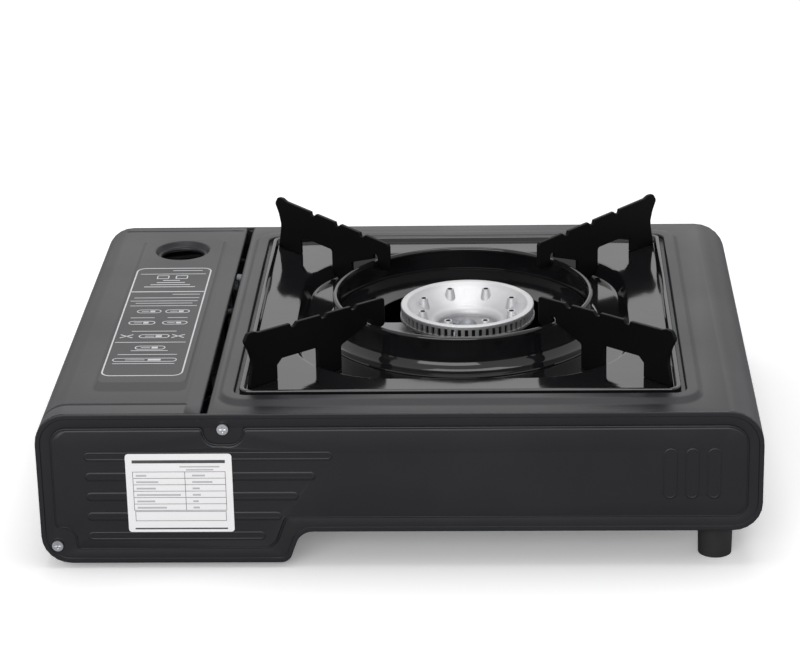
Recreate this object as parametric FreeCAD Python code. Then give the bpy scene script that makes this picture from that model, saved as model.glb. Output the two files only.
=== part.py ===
import FreeCAD, Part
import math
import os

# Butane cassette stove, in millimetres.
# X runs from the burner side (-X) to the canister side (+X), the knob is on the front (-Y),
# and Z is up from the table. Pieces are laid out about the middle of the casing.

V = FreeCAD.Vector
os.makedirs("parts", exist_ok=True)

# Pan well, which the casing is built round
well_width = 216.5
well_longer = 8.5
well_radius = 6.0
frame_margin = 7.2
frame_rise = 1.5
ledge_drop = 2.4
ledge_width = 12.0

# Casing: room beside, before and behind the well's raised frame
burner_side_margin = 28.05
end_margin = 14.3
deck_land = 3.95
bay_width = 82.1
deck_z = 80.4
base_z = 19.2
tray_z = 3.0
sheet = 1.0
top_side_radius = 17.0
top_lid_radius = 15.0
bottom_radius = 14.0
tray_step_back = 35.5
tray_step_slope = 6.0
shell_joint_z = 34.0
shell_lap = 11.0
wall_top_z = 57.0
lid_skirt_z = 58.0
lap_gap = 0.6
emboss = 0.8
emboss_margin = 9.0
emboss_notch = 8.5
rib_count = 5
rib_pitch = 10.4
rib_height = 4.2
rib_shift = 8.3
rib_depth = 0.5
mark_count = 3
mark_pitch = 10.3

# Pan
pan_gap = 2.4
pan_sheet = 0.8
rim_width = 2.4
rim_rise = 2.5
dip_margin = 20.0
dip_radius = 52.0
dip_slope = 6.0
dip_depth = 6.5
boss_rise = 6.0
boss_hole_radius = 47.0
boss_fall = 4.6

# Wind ring
ring_radius = 66.2
ring_sheet = 0.8
ring_rise = 18.3
ring_bead = 1.35
ring_flare = 6.0

# Pot arms, as radius from the ring centre and height above the pan floor
arm_sheet = 2.0
arm_tip_rise = 29.0
arm_tip_out = 2.0
arm_top_inner_rise = 23.0
arm_top_outer_rise = 27.5
arm_inside_ring = 11.2
leg_rim_gap = 1.63
leg_outer_width = 18.0
leg_spacing = 44.0
leg_inner_width = 15.5
window_rise = 9.6
hook_rise = 8.0
notch_count = 3
notch_first_out = 9.0
notch_pitch = 19.7
notch_width = 4.6
notch_depth = 2.0
tab_width = 6.0
tab_gap = 0.15

# Burner
burner_offset = 2.3
burner_rim_radius = 34.1
burner_rim_z = 85.1
cap_rim_width = 3.5
cap_rim_thickness = 1.8
cap_hole_radius = 15.3
cap_depth = 11.8
cap_wall = 1.5
flame_height = 4.0
flame_slots = 60
flame_wall = 3.0
flame_slot_width = 1.7
jet_count = 8
jet_circle = 24.5
jet_base_radius = 3.2
jet_top_radius = 1.9
jet_hole_radius = 0.8
tube_width = 17.0
tube_height = 14.0
tube_wall = 1.2
tube_pan_gap = 0.6
tube_end_gap = 24.0
burner_bracket_width = 24.0
bracket_reach = 44.0
bracket_knee = 28.0
bracket_shelf = 20.0
ceramic_radius = 2.2
ceramic_drop = 4.4
electrode_radius = 0.6

# Canister bay
canister_inset = 41.5
canister_z = 41.3
canister_radius = 34.0
canister_clearance = 0.3
cradle_width = 48.0
cradle_rise = 11.0
cradle_sheet = 2.0
cradle_places = (-45.0, 60.0)
divider_inset = 4.4
lid_seam = 2.8
hinge_inset = 0.9
hinge_z = 77.2
hinge_pin_radius = 1.2
hinge_play = 0.06
ear_radius = 3.0
lid_end_gap = 0.5
lid_skirt_drop = 14.4
lid_hole_aside = 5.4
lid_hole_back = 40.9
lid_hole_radius = 11.8
lid_dish_radius = 15.2
lid_dish_depth = 2.4

# Gas control
socket_back = 46.0
bracket_back = 40.0
bracket_sheet = 1.2
regulator_radius = 14.0
regulator_back = 18.0
housing_radius = 10.5
housing_rise = 17.0
stem_bore_radius = 2.1
stem_bore_length = 12.0
nozzle_radius = 7.5
valve_radius = 9.0
valve_length = 8.0
spindle_radius = 3.0
spindle_play = 0.06
knob_radius = 21.0
knob_length = 17.5
knob_gap = 1.0
cam_base_radius = 8.4
cam_rise = 3.0
cam_angle = 100.0
cam_width = 4.0
cam_back = 3.6
pipe_radius = 2.4
pipe_bend = 9.0
pipe_back = 32.0
injector_gap = 20.0
injector_length = 14.0
injector_radius = 5.5
piezo_length = 22.0
plunger_radius = 2.0
plunger_length = 9.0
contact_gap = 0.4
lead_radius = 1.25
lead_gate_back = 12.0
lead_gate_z = 62.0

# Lock
lever_inset = 12.0
lever_sheet = 3.0
lever_slot_play = 1.3
lever_pivot_back = 16.0
lever_pivot_z = 40.0
lever_pivot_radius = 2.5
lever_reach = 32.0
lever_height = 8.0
lever_angle = 40.0
link_radius = 12.0
link_pin_radius = 2.0
link_play = 0.35
slider_sheet = 1.5
slider_z = 5.5
fork_back = 60.0
fork_radius = 15.0
fork_half_width = 20.0
guide_inner = 7.0
guide_outer = 15.0
guide_length = 24.0
rail_length = 30.0

# Small parts
foot_inset_x = 21.0
foot_inset_y = 18.5
foot_radius = 8.5
pad_radius = 6.0
pad_near_inset = 97.5
pad_far_inset = 27.5
pad_inset_y = 29.0
lug_half = 3.2
screw_radius = 1.5
screw_head_radius = 2.7
screw_head_height = 1.1
label_inset = 68.1
label_z = 40.2
label_width = 50.8
label_height = 40.8
label_thickness = 0.2

# Places that follow from the sizes
well_depth = well_width + well_longer
case_width = burner_side_margin + 2 * frame_margin + well_width + deck_land + bay_width
case_depth = well_depth + 2 * (frame_margin + end_margin)
half_width = case_width / 2
half_depth = case_depth / 2
front_y = -half_depth
pan_x = -half_width + burner_side_margin + frame_margin + well_width / 2
burner_x = pan_x - burner_offset
deck_edge_x = half_width - bay_width
divider_x = deck_edge_x - divider_inset
lid_edge_x = deck_edge_x + lid_seam
hinge_x = lid_edge_x + hinge_inset
canister_x = half_width - canister_inset
tray_step_x = divider_x - tray_step_back
tube_end_x = divider_x - tube_end_gap
injector_x = divider_x - injector_gap
lid_hole_x = canister_x - lid_hole_aside
lid_hole_y = front_y + lid_hole_back
socket_y = front_y + socket_back
bracket_y = front_y + bracket_back
regulator_front_y = front_y + regulator_back
cam_y = front_y + cam_back
pipe_y = front_y + pipe_back
lead_gate = (front_y + lead_gate_back, lead_gate_z)
lever_x = divider_x + lever_inset
lever_pivot_y = front_y + lever_pivot_back
fork_y = front_y + fork_back
foot_x = half_width - foot_inset_x
foot_y = half_depth - foot_inset_y
pad_x = half_width - pad_near_inset
pad_far_x = half_width - pad_far_inset
pad_y = half_depth - pad_inset_y
label_x = half_width - label_inset
panel_outer_y = half_depth - emboss
panel_inner_y = panel_outer_y - sheet
frame_z = deck_z + frame_rise
pan_floor_z = frame_z - ledge_drop + pan_sheet
ledge_z = pan_floor_z - pan_sheet
dip_floor_z = pan_floor_z - dip_depth
burner_bottom_z = dip_floor_z - pan_sheet - tube_pan_gap - tube_height
pan_width = well_width - 2 * pan_gap
pan_depth = well_depth - 2 * pan_gap
leg_outer_to = (pan_width / 2 - rim_width - leg_rim_gap) * math.sqrt(2)
leg_outer_from = leg_outer_to - leg_outer_width
leg_inner_to = leg_outer_to - leg_spacing
leg_inner_from = leg_inner_to - leg_inner_width
arm_reach = leg_outer_to + arm_tip_out
arm_inner_radius = ring_radius - arm_inside_ring
ring_top_z = dip_floor_z + ring_rise
tray_floor_z = tray_z + sheet
base_floor_z = base_z + sheet
flame_top_z = burner_rim_z - cap_rim_thickness
flame_bottom_z = flame_top_z - flame_height
cap_floor_z = burner_rim_z - cap_depth
tube_z = burner_bottom_z + tube_height / 2
knob_front_y = -half_depth - knob_gap - knob_length
# The origin is the middle of the whole box, knob included, so every piece moves back by half the knob.
frame_shift = (knob_gap + knob_length) / 2


def save(name, shape):
    shape = shape.copy()
    shape.translate(V(0, frame_shift, 0))
    shape.exportStep("parts/" + name + ".step")
    print(name, len(shape.Solids), "solids", round(shape.Volume, 1), shape.isValid())


def box(x0, x1, y0, y1, z0, z1):
    return Part.makeBox(x1 - x0, y1 - y0, z1 - z0, V(x0, y0, z0))


def cylinder(radius, start, end):
    axis = V(*end) - V(*start)
    return Part.makeCylinder(radius, axis.Length, V(*start), axis)


def along_x(radius, y, z, x0, x1):
    return cylinder(radius, (x0, y, z), (x1, y, z))


def along_y(radius, x, z, y0, y1):
    return cylinder(radius, (x, y0, z), (x, y1, z))


def upright(radius, x, y, z0, z1):
    return cylinder(radius, (x, y, z0), (x, y, z1))


def cone(radius_start, radius_end, start, end):
    axis = V(*end) - V(*start)
    return Part.makeCone(radius_start, radius_end, axis.Length, V(*start), axis)


def join(shapes):
    whole = shapes[0]
    if len(shapes) > 1:
        whole = whole.multiFuse(shapes[1:])
    return whole.removeSplitter()


def rounded_points(points):
    """Corner list (a, b, radius) to a list of edges as 2-D points: lines and three-point arcs."""
    pieces = []
    count = len(points)
    starts = []
    ends = []
    mids = []
    for i in range(count):
        a = V(points[i - 1][0], points[i - 1][1], 0)
        b = V(points[i][0], points[i][1], 0)
        c = V(points[(i + 1) % count][0], points[(i + 1) % count][1], 0)
        radius = points[i][2] if len(points[i]) > 2 else 0
        to_a = (a - b).normalize()
        to_c = (c - b).normalize()
        if radius <= 0:
            starts.append(b)
            ends.append(b)
            mids.append(None)
            continue
        half = to_a.getAngle(to_c) / 2
        reach = radius / math.tan(half)
        centre = b + (to_a + to_c).normalize() * (radius / math.sin(half))
        starts.append(b + to_a * reach)
        ends.append(b + to_c * reach)
        mids.append(centre + (b - centre).normalize() * radius)
    for i in range(count):
        if mids[i] is not None:
            pieces.append((starts[i], mids[i], ends[i]))
        following = (i + 1) % count
        if (starts[following] - ends[i]).Length > 1e-6:
            pieces.append((ends[i], starts[following]))
    return pieces


def outline(points, place):
    edges = []
    for piece in rounded_points(points):
        spots = [place(p.x, p.y) for p in piece]
        if len(spots) == 3:
            edges.append(Part.Arc(*spots).toShape())
        else:
            edges.append(Part.LineSegment(*spots).toShape())
    return Part.Wire(edges)


def slab_xz(points, y0, y1):
    """Outline in X and Z, with corner radii, thickened along Y."""
    face = Part.Face(outline(points, lambda a, b: V(a, y0, b)))
    return face.extrude(V(0, y1 - y0, 0))


def slab_yz(points, x0, x1):
    face = Part.Face(outline(points, lambda a, b: V(x0, a, b)))
    return face.extrude(V(x1 - x0, 0, 0))


def slab_xy(points, z0, z1):
    face = Part.Face(outline(points, lambda a, b: V(a, b, z0)))
    return face.extrude(V(0, 0, z1 - z0))


def rectangle(cx, cy, width, depth, radius):
    a = width / 2
    b = depth / 2
    corners = ((-a, -b), (a, -b), (a, b), (-a, b))
    return [(cx + x, cy + y, radius) for x, y in corners]


def turned(points, centre):
    """Closed outline of (radius, height) points, turned about a vertical axis."""
    face = Part.Face(outline(points, lambda a, b: V(centre[0] + a, centre[1], b)))
    return face.revolve(V(centre[0], centre[1], 0), V(0, 0, 1), 360)


def case_outline(inset):
    """Cross-section of the casing, looking along Y, drawn inset from its outer face."""
    right = half_width - inset
    top = deck_z - inset
    step_low = tray_step_x + tray_step_slope / 2 + inset
    step_high = tray_step_x - tray_step_slope / 2 + inset
    return [
        (-right, top, top_side_radius - inset),
        (right, top, top_lid_radius - inset),
        (right, tray_z + inset, bottom_radius - inset),
        (step_low, tray_z + inset, 5.0 + inset),
        (step_high, base_z + inset, 8.0 - inset),
        (-right, base_z + inset, bottom_radius - inset),
    ]


def case_tube():
    """The casing's sheet all round, between the two end panels."""
    outer = slab_xz(case_outline(0), -panel_inner_y, panel_inner_y)
    inner = slab_xz(case_outline(sheet), -panel_inner_y - 1, panel_inner_y + 1)
    return outer.cut(inner)


def screw_places():
    """Where the end panels are screwed, as X and Z."""
    return ((divider_x - 3.3, deck_z - 7.4), (half_width - 7.7, tray_z + 9.4))


def panel_lug(x, low, high, side):
    """Tab behind an end panel that takes its screw."""
    ends = sorted((side * (panel_inner_y - sheet), side * panel_inner_y))
    return slab_xz(case_outline(0), *ends).common(box(x - lug_half, x + lug_half, *ends, low, high))


def screw_hole(x, z, radius=screw_radius):
    return along_y(radius, x, z, -half_depth - 1, half_depth + 1)


def top_shell():
    far = half_depth + 5
    shell = case_tube().common(box(-half_width - 1, deck_edge_x, -far, far, shell_joint_z, deck_z + 1))
    frame_width = well_width + 2 * frame_margin
    frame_depth = well_depth + 2 * frame_margin
    corner = well_radius + frame_margin
    raised = slab_xy(rectangle(pan_x, 0, frame_width, frame_depth, corner), deck_z - sheet, frame_z)
    top_edges = [e for e in raised.Edges if abs(e.BoundBox.ZMin - frame_z) < 0.01]
    raised = raised.makeChamfer(frame_rise - 0.1, top_edges)
    inner_width = frame_width - 2 * (frame_rise + sheet)
    inner_depth = frame_depth - 2 * (frame_rise + sheet)
    inside = rectangle(pan_x, 0, inner_width, inner_depth, corner - 2)
    under = slab_xy(inside, deck_z - sheet - 1, frame_z - sheet)
    well_outer = slab_xy(
        rectangle(pan_x, 0, well_width + 2 * sheet, well_depth + 2 * sheet, well_radius + sheet),
        ledge_z - sheet, frame_z - sheet / 2)
    well_hole = slab_xy(rectangle(pan_x, 0, well_width, well_depth, well_radius), ledge_z, frame_z + 1)
    ledge_hole = slab_xy(
        rectangle(pan_x, 0, well_width - 2 * ledge_width, well_depth - 2 * ledge_width, well_radius),
        ledge_z - sheet - 1, frame_z + 1)
    shell = join([shell, raised]).cut(under)
    shell = join([shell, well_outer]).cut(well_hole).cut(ledge_hole)
    flange = box(deck_edge_x - sheet, deck_edge_x, -panel_inner_y, panel_inner_y,
                 deck_z - 8, deck_z - sheet / 2)
    x, z = screw_places()[0]
    lugs = [panel_lug(x, z - 5.5, deck_z - sheet / 2, side) for side in (-1, 1)]
    shell = join([shell, flange] + lugs)
    shell = shell.cut(screw_hole(x, z))
    return shell


def base_pan():
    far = half_depth + 5
    low = case_tube().common(box(-half_width - 1, half_width - 40, -far, far, 0, shell_joint_z))
    high = case_tube().common(box(half_width - 40, half_width + 1, -far, far, 0, wall_top_z))
    x = -half_width + sheet
    lap = box(x, x + sheet, -panel_inner_y, panel_inner_y, shell_joint_z - 4, shell_joint_z + shell_lap)
    x = half_width - sheet - lap_gap
    lip = box(x - sheet, x, -panel_inner_y, panel_inner_y, wall_top_z - 3, wall_top_z + 7)
    bridge = box(x - sheet, half_width - sheet / 2, -panel_inner_y, panel_inner_y,
                 wall_top_z - 3, wall_top_z - 2)
    x, z = screw_places()[1]
    lugs = [panel_lug(x, tray_z + sheet / 2, z + 5.5, side) for side in (-1, 1)]
    pan = join([low, high, lap, lip, bridge] + lugs)
    pan = pan.cut(screw_hole(x, z))
    for side in (-1, 1):
        hole = upright(screw_radius * 2, -foot_x, side * foot_y, base_z - 1, base_z + 3)
        pan = pan.cut(hole)
    return pan


def oblong(cx, cz, width, height, y0, y1):
    return slab_xz(rectangle(cx, cz, width, height, min(width, height) / 2 - 0.01), y0, y1)


def rib_marks(y0, y1):
    """Long ribs and short upright ones, pressed into the back panel's field."""
    marks = []
    for i in range(rib_count):
        z = deck_z - 21.4 - rib_pitch * i
        left = divider_x - 54.8 + rib_shift * i
        right = half_width - 23.1
        marks.append(oblong((left + right) / 2, z, right - left, rib_height, y0, y1))
    for i in range(mark_count):
        marks.append(oblong(-half_width + 43.9 - mark_pitch * i, deck_z - 31.4, 6.2, 26, y0, y1))
    return marks


def end_panel(side):
    inner = side * panel_inner_y
    outer = side * panel_outer_y
    face = side * half_depth
    plate = slab_xz(case_outline(0), *sorted((inner, outer)))
    field = slab_xz(case_outline(emboss_margin), *sorted((inner, face)))
    pocket = slab_xz(case_outline(emboss_margin + sheet), *sorted((inner, side * (half_depth - sheet))))
    for x, z in screw_places():
        field = field.cut(along_y(emboss_notch, x, z, inner, face))
        pocket = pocket.cut(along_y(emboss_notch + sheet, x, z, inner, face))
    panel = join([plate, field]).cut(pocket)
    if side > 0:
        for mark in rib_marks(half_depth - rib_depth, half_depth + 1):
            panel = panel.cut(mark)
    for x, z in screw_places():
        seat = along_y(screw_head_radius + 0.6, x, z, outer, face + side)
        panel = panel.cut(seat).cut(screw_hole(x, z))
    return panel.cut(along_y(hinge_pin_radius, hinge_x, hinge_z, inner - side, face + side))


def front_panel():
    panel = end_panel(-1)
    knob_hole = cylinder(spindle_radius + 2, (canister_x, -half_depth - 1, canister_z),
                         (canister_x, -panel_inner_y + 1, canister_z))
    reach = lever_pivot_y + half_depth
    half_slot = reach * math.tan(math.radians(lever_angle / 2)) + lever_height / 2 + 2.5
    slot = box(lever_x - lever_slot_play, lever_x + lever_sheet + lever_slot_play, -half_depth - 1,
               -panel_inner_y + 1, lever_pivot_z - half_slot, lever_pivot_z + half_slot)
    return panel.cut(knob_hole).cut(slot)


def divider():
    plate = box(divider_x, divider_x + sheet, -panel_inner_y, panel_inner_y, tray_floor_z, deck_z - sheet)
    foot_end = half_depth - 74
    foot = box(divider_x, divider_x + 10, -foot_end, foot_end, tray_floor_z, tray_floor_z + sheet)
    pipe_hole = along_x(pipe_radius + 2, pipe_y, canister_z, divider_x - 1, divider_x + 2)
    lead_y, lead_z = lead_gate
    lead_hole = along_x(lead_radius + 3, lead_y, lead_z, divider_x - 1, divider_x + 2)
    return join([plate, foot]).cut(pipe_hole).cut(lead_hole)


def drip_pan():
    outer = rectangle(pan_x, 0, pan_width, pan_depth, well_radius - 1)
    inner = rectangle(pan_x, 0, pan_width - 2 * rim_width, pan_depth - 2 * rim_width, well_radius - 2.5)
    pan = slab_xy(outer, ledge_z, pan_floor_z + rim_rise)
    edges = [e for e in pan.Edges if abs(e.BoundBox.ZMin - pan_floor_z - rim_rise) < 0.01]
    pan = pan.makeFillet(rim_width / 2 - 0.1, edges)
    pan = pan.cut(slab_xy(inner, pan_floor_z, pan_floor_z + rim_rise + 1))

    def dip(grow, top, floor):
        width = pan_width - 2 * dip_margin + 2 * grow
        depth = pan_depth - 2 * dip_margin + 2 * grow
        drop = dip_slope * (top - floor) / dip_depth
        wires = []
        for z, shrink in ((top, 0), (floor, drop)):
            points = rectangle(pan_x, 0, width - 2 * shrink, depth - 2 * shrink, dip_radius + grow - shrink)
            wires.append(outline(points, lambda a, b: V(a, b, z)))
        return Part.makeLoft(wires, True, True)

    shell = dip(pan_sheet * 1.2, pan_floor_z - pan_sheet, dip_floor_z - pan_sheet)
    hollow = dip(0, pan_floor_z, dip_floor_z)
    pan = join([pan, shell]).cut(hollow).cut(slab_xy(
        rectangle(pan_x, 0, pan_width - 2 * dip_margin - 2, pan_depth - 2 * dip_margin - 2, dip_radius - 1),
        pan_floor_z - 0.01, pan_floor_z + 1))
    boss_outer = ring_radius - ring_sheet - 0.1
    boss_top = dip_floor_z + boss_rise
    pan = pan.cut(upright(boss_outer - 0.3, pan_x, 0, dip_floor_z - 5, dip_floor_z + 5))
    boss = turned([
        (boss_outer, dip_floor_z - pan_sheet),
        (boss_outer, boss_top, 1.2),
        (boss_hole_radius, boss_top - boss_fall),
        (boss_hole_radius, boss_top - boss_fall - pan_sheet),
        (boss_outer - pan_sheet, boss_top - pan_sheet, 0.4),
        (boss_outer - pan_sheet, dip_floor_z - pan_sheet),
    ], (pan_x, 0))
    pan = join([pan, boss])
    for angle in (45, 135, 225, 315):
        for radius, z in tab_places():
            slot = box(radius - tab_gap, radius + tab_width + tab_gap, -arm_sheet / 2 - tab_gap,
                       arm_sheet / 2 + tab_gap, z - 3, z + 1)
            pan = pan.cut(around_pan(slot, angle))
    return pan


def tab_places():
    """Start radius and floor height of the tabs under each arm's two legs."""
    return ((leg_outer_from + 2, pan_floor_z), (leg_inner_from + 1, dip_floor_z))


def around_pan(shape, angle):
    shape = shape.copy()
    shape.rotate(V(0, 0, 0), V(0, 0, 1), angle)
    shape.translate(V(pan_x, 0, 0))
    return shape


def wind_ring():
    inner = ring_radius - ring_sheet
    bead_z = ring_top_z - ring_bead
    wall = turned([
        (inner, dip_floor_z),
        (ring_radius + ring_flare + 2, dip_floor_z),
        (ring_radius + ring_flare + 2, dip_floor_z + ring_sheet, 0.3),
        (ring_radius, dip_floor_z + ring_sheet, ring_flare - 0.5),
        (ring_radius, bead_z),
        (inner, bead_z),
    ], (pan_x, 0))
    bead = Part.makeTorus(ring_radius + 0.4 - ring_bead, ring_bead, V(pan_x, 0, bead_z), V(0, 0, 1))
    return join([wall, bead])


def arm(angle):
    floor = pan_floor_z
    tip = floor + arm_tip_rise
    slot_low = ring_radius + 0.4 - 2 * ring_bead - 0.35
    slot_high = ring_radius + 0.4 + 0.35
    rim_clear = ring_top_z + 0.3

    def top(radius):
        share = (radius - arm_inner_radius) / (leg_outer_from + 10.6 - arm_inner_radius)
        return floor + arm_top_inner_rise + (arm_top_outer_rise - arm_top_inner_rise) * share

    points = [(arm_inner_radius, floor + hook_rise, 2.5), (arm_inner_radius, top(arm_inner_radius), 1.8)]
    for i in range(notch_count):
        radius = ring_radius + notch_first_out + notch_pitch * i
        low = radius - notch_width / 2
        high = radius + notch_width / 2
        points.append((low, top(low), 0.5))
        points.append((high - 2.6, top(high) - notch_depth, 0.4))
        points.append((high - 0.6, top(high) - notch_depth, 0.4))
        points.append((high, top(high), 0.4))
    points += [
        (leg_outer_from + 10.6, top(leg_outer_from + 10.6), 1.5),
        (arm_reach - 5.6, tip, 1.2),
        (arm_reach, tip - 5.4, 3),
        (arm_reach - 4.4, tip - 13, 4),
        (arm_reach - 4.2, floor + 11, 6),
        (leg_outer_to, floor),
        (leg_outer_from, floor),
        (leg_outer_from, floor + window_rise - 2.2, 0.5),
        (leg_outer_from - 3.2, floor + window_rise + 0.5, 1),
        (leg_inner_to, floor + window_rise - 0.6, 1.5),
        (leg_inner_to, floor - 2),
        (leg_inner_to - 4.6, dip_floor_z),
        (leg_inner_from, dip_floor_z),
        (leg_inner_from, floor + 5.8, 1.5),
        (slot_high, rim_clear, 0.3),
        (slot_high, ring_top_z + 3.2, 1.5),
        (slot_low, ring_top_z + 3.2, 1.5),
        (slot_low, floor + hook_rise, 0.8),
    ]
    plate = slab_xz(points, -arm_sheet / 2, arm_sheet / 2)
    half = arm_sheet / 2
    tabs = [box(radius, radius + tab_width, -half, half, z - 2.2, z + 1) for radius, z in tab_places()]
    return around_pan(join([plate] + tabs), angle)


def burner_body():
    flange = burner_rim_radius + 0.4
    boss_top = cap_floor_z - cap_wall
    boss = cap_hole_radius + 1.2
    low = burner_bottom_z
    bowl = turned([
        (0, low), (21, low, 2), (25, low + 8, 4), (flange - 2.5, flame_bottom_z - 2.4, 2),
        (flange, flame_bottom_z - 1.2), (flange, flame_bottom_z),
        (burner_rim_radius - flame_wall, flame_bottom_z),
        (burner_rim_radius - flame_wall - 1, flame_bottom_z - 2, 1), (22.5, low + 8, 2), (19.5, low + 2),
        (boss, low + 2), (boss, boss_top), (0, boss_top),
    ], (burner_x, 0))
    end = burner_x + 30
    half = tube_width / 2
    high = low + tube_height
    mouth = [(-half, low, 4), (half, low, 4), (half, high, 4), (-half, high, 4)]
    snout = slab_yz(mouth, burner_x + 20, end)
    inside = half - tube_wall
    bore = slab_yz([(-inside, low + tube_wall, 3), (inside, low + tube_wall, 3),
                    (inside, high - tube_wall, 3), (-inside, high - tube_wall, 3)],
                   burner_x + boss + 1, end + 1)
    chamber_gap = turned([
        (boss, low + 2), (19.5, low + 2), (22.5, low + 8),
        (burner_rim_radius - flame_wall - 1, flame_bottom_z - 2),
        (burner_rim_radius - flame_wall, flame_bottom_z), (boss, flame_bottom_z)], (burner_x, 0))
    body = join([bowl, snout]).cut(bore).cut(chamber_gap)
    return body


def flame_ring():
    outer = upright(burner_rim_radius, burner_x, 0, flame_bottom_z, flame_top_z)
    inner = upright(burner_rim_radius - flame_wall, burner_x, 0, flame_bottom_z - 1, flame_top_z + 1)
    ring = outer.cut(inner)
    cutters = []
    for i in range(flame_slots):
        slot = box(burner_rim_radius - flame_wall - 1, burner_rim_radius + 1, -flame_slot_width / 2,
                   flame_slot_width / 2, flame_bottom_z + 1.0, flame_top_z + 1)
        slot.rotate(V(0, 0, 0), V(0, 0, 1), i * 360 / flame_slots)
        slot.translate(V(burner_x, 0, 0))
        cutters.append(slot)
    return ring.cut(Part.makeCompound(cutters))


def burner_cap():
    rim = burner_rim_radius
    inner = rim - cap_rim_width
    dish = turned([
        (rim, flame_top_z), (rim, burner_rim_z, 0.6), (inner, burner_rim_z, 0.8),
        (cap_hole_radius, cap_floor_z, 0.3), (cap_hole_radius, cap_floor_z - cap_wall),
        (cap_hole_radius + 1.2, cap_floor_z - cap_wall), (inner - 0.6, flame_top_z - 1.2, 0.5),
        (inner - 0.6, flame_top_z),
    ], (burner_x, 0))
    slope = (burner_rim_z - cap_floor_z) / (inner - cap_hole_radius)
    surface = cap_floor_z + (jet_circle - cap_hole_radius) * slope
    top = burner_rim_z - 0.8
    jets = []
    holes = []
    for i in range(jet_count):
        angle = math.radians(22.5 + i * 360 / jet_count)
        x = burner_x + jet_circle * math.cos(angle)
        y = jet_circle * math.sin(angle)
        jets.append(cone(jet_base_radius, jet_top_radius, (x, y, surface - 2.4), (x, y, top)))
        holes.append(upright(jet_hole_radius, x, y, top - 2.5, top + 1))
    return join([dish] + jets).cut(Part.makeCompound(holes))


def burner_clamp():
    """Bar and domed screw head in the middle of the burner."""
    floor = cap_floor_z - cap_wall
    bar = box(-12.5, 12.5, -2.5, 2.5, floor, floor + 1.4)
    bar.rotate(V(0, 0, 0), V(0, 0, 1), -35)
    bar.translate(V(burner_x, 0, 0))
    dome = Part.makeSphere(5.2, V(burner_x, 0, floor - 0.6))
    dome = dome.common(upright(5, burner_x, 0, floor, floor + 6))
    return join([bar, dome])


def mixing_tube():
    low = burner_bottom_z
    start = burner_x + 30
    half = tube_width / 2
    wall = tube_wall

    def section(inset, x0, x1):
        a = half - inset
        b = low + inset
        c = low + tube_height - inset
        r = 4 - inset / 2
        return slab_yz([(-a, b, r), (a, b, r), (a, c, r), (-a, c, r)], x0, x1)

    outer = section(0, start, tube_end_x)
    mouth = slab_yz([(-half - 2, low - 2, 5), (half + 2, low - 2, 5), (half + 2, low + tube_height + 2, 5),
                     (-half - 2, low + tube_height + 2, 5)], tube_end_x - 2, tube_end_x)
    tube = join([outer, mouth]).cut(section(wall, start - 1, tube_end_x + 1))
    air_hole = along_y(3.5, tube_end_x - 8, tube_z, -half - 1, half + 1)
    return tube.cut(air_hole)


def burner_bracket():
    """Bridge that stands on the base and carries the bowl."""
    low = burner_bottom_z
    drop = bracket_sheet
    rise = low - drop - base_floor_z
    under = ((-bracket_reach, 0, 0), (-bracket_knee + 1, 0, 0), (-bracket_shelf + 1, rise, 2))
    over = ((bracket_reach, drop, 0), (bracket_knee, drop, 0), (bracket_shelf, low - base_floor_z, 3))
    points = [(burner_x + a, base_floor_z + b, r) for a, b, r in under]
    points += [(burner_x - a, base_floor_z + b, r) for a, b, r in reversed(under)]
    points += [(burner_x + a, base_floor_z + b, r) for a, b, r in over]
    points += [(burner_x - a, base_floor_z + b, r) for a, b, r in reversed(over)]
    return slab_xz(points, -burner_bracket_width / 2, burner_bracket_width / 2)


def lid():
    far = half_depth + 5
    end = panel_inner_y - lid_end_gap
    tube = case_tube().common(box(lid_edge_x, half_width + 1, -end, end, lid_skirt_z, deck_z + 1))
    inner = slab_xz(case_outline(sheet), -end, end)
    skirt_zone = box(hinge_x + 2, half_width, -far, far, deck_z - lid_skirt_drop, deck_z)
    skirts = inner.common(skirt_zone).cut(box(hinge_x, half_width, -end + sheet, end - sheet, 0, deck_z))
    ears = []
    for side in (-1, 1):
        a = side * end
        b = side * (end - sheet)
        ears.append(along_y(ear_radius, hinge_x, hinge_z, a, b))
        ears.append(box(hinge_x, hinge_x + 4, min(a, b), max(a, b),
                        hinge_z - ear_radius, deck_z - sheet / 2))
    whole = join([tube, skirts] + ears)
    trim = case_outline(0)
    whole = whole.common(slab_xz(trim, -far, far))
    pin_radius = hinge_pin_radius + hinge_play
    whole = whole.cut(along_y(pin_radius, hinge_x, hinge_z, -far, far))
    top = deck_z
    dish = turned([
        (lid_hole_radius, top - lid_dish_depth), (lid_dish_radius - 1.6, top - lid_dish_depth, 0.8),
        (lid_dish_radius, top), (lid_dish_radius + sheet, top - sheet / 2),
        (lid_dish_radius - 0.6, top - sheet - lid_dish_depth, 1.2),
        (lid_hole_radius, top - sheet - lid_dish_depth),
    ], (lid_hole_x, lid_hole_y))
    whole = whole.cut(upright(lid_dish_radius, lid_hole_x, lid_hole_y, top - 5, top + 1))
    return join([whole, dish])


def lid_hinge_pins():
    pins = []
    for side in (-1, 1):
        inner = side * (panel_inner_y - lid_end_gap - sheet - 1)
        outer = side * panel_outer_y
        pins.append(along_y(hinge_pin_radius, hinge_x, hinge_z, inner, outer))
    return Part.makeCompound(pins)


def canister_cradle():
    ribs = []
    can = cylinder(canister_radius + canister_clearance, (canister_x, -half_depth, canister_z),
                   (canister_x, half_depth, canister_z))
    half = cradle_width / 2
    for y in cradle_places:
        end = y + cradle_sheet
        rib = box(canister_x - half, canister_x + half, y, end, tray_floor_z, tray_floor_z + cradle_rise)
        foot = box(canister_x - half + 4, canister_x + half - 4, end, end + 10,
                   tray_floor_z, tray_floor_z + sheet)
        ribs.append(join([rib.cut(can), foot]))
    return Part.makeCompound(ribs)


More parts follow.
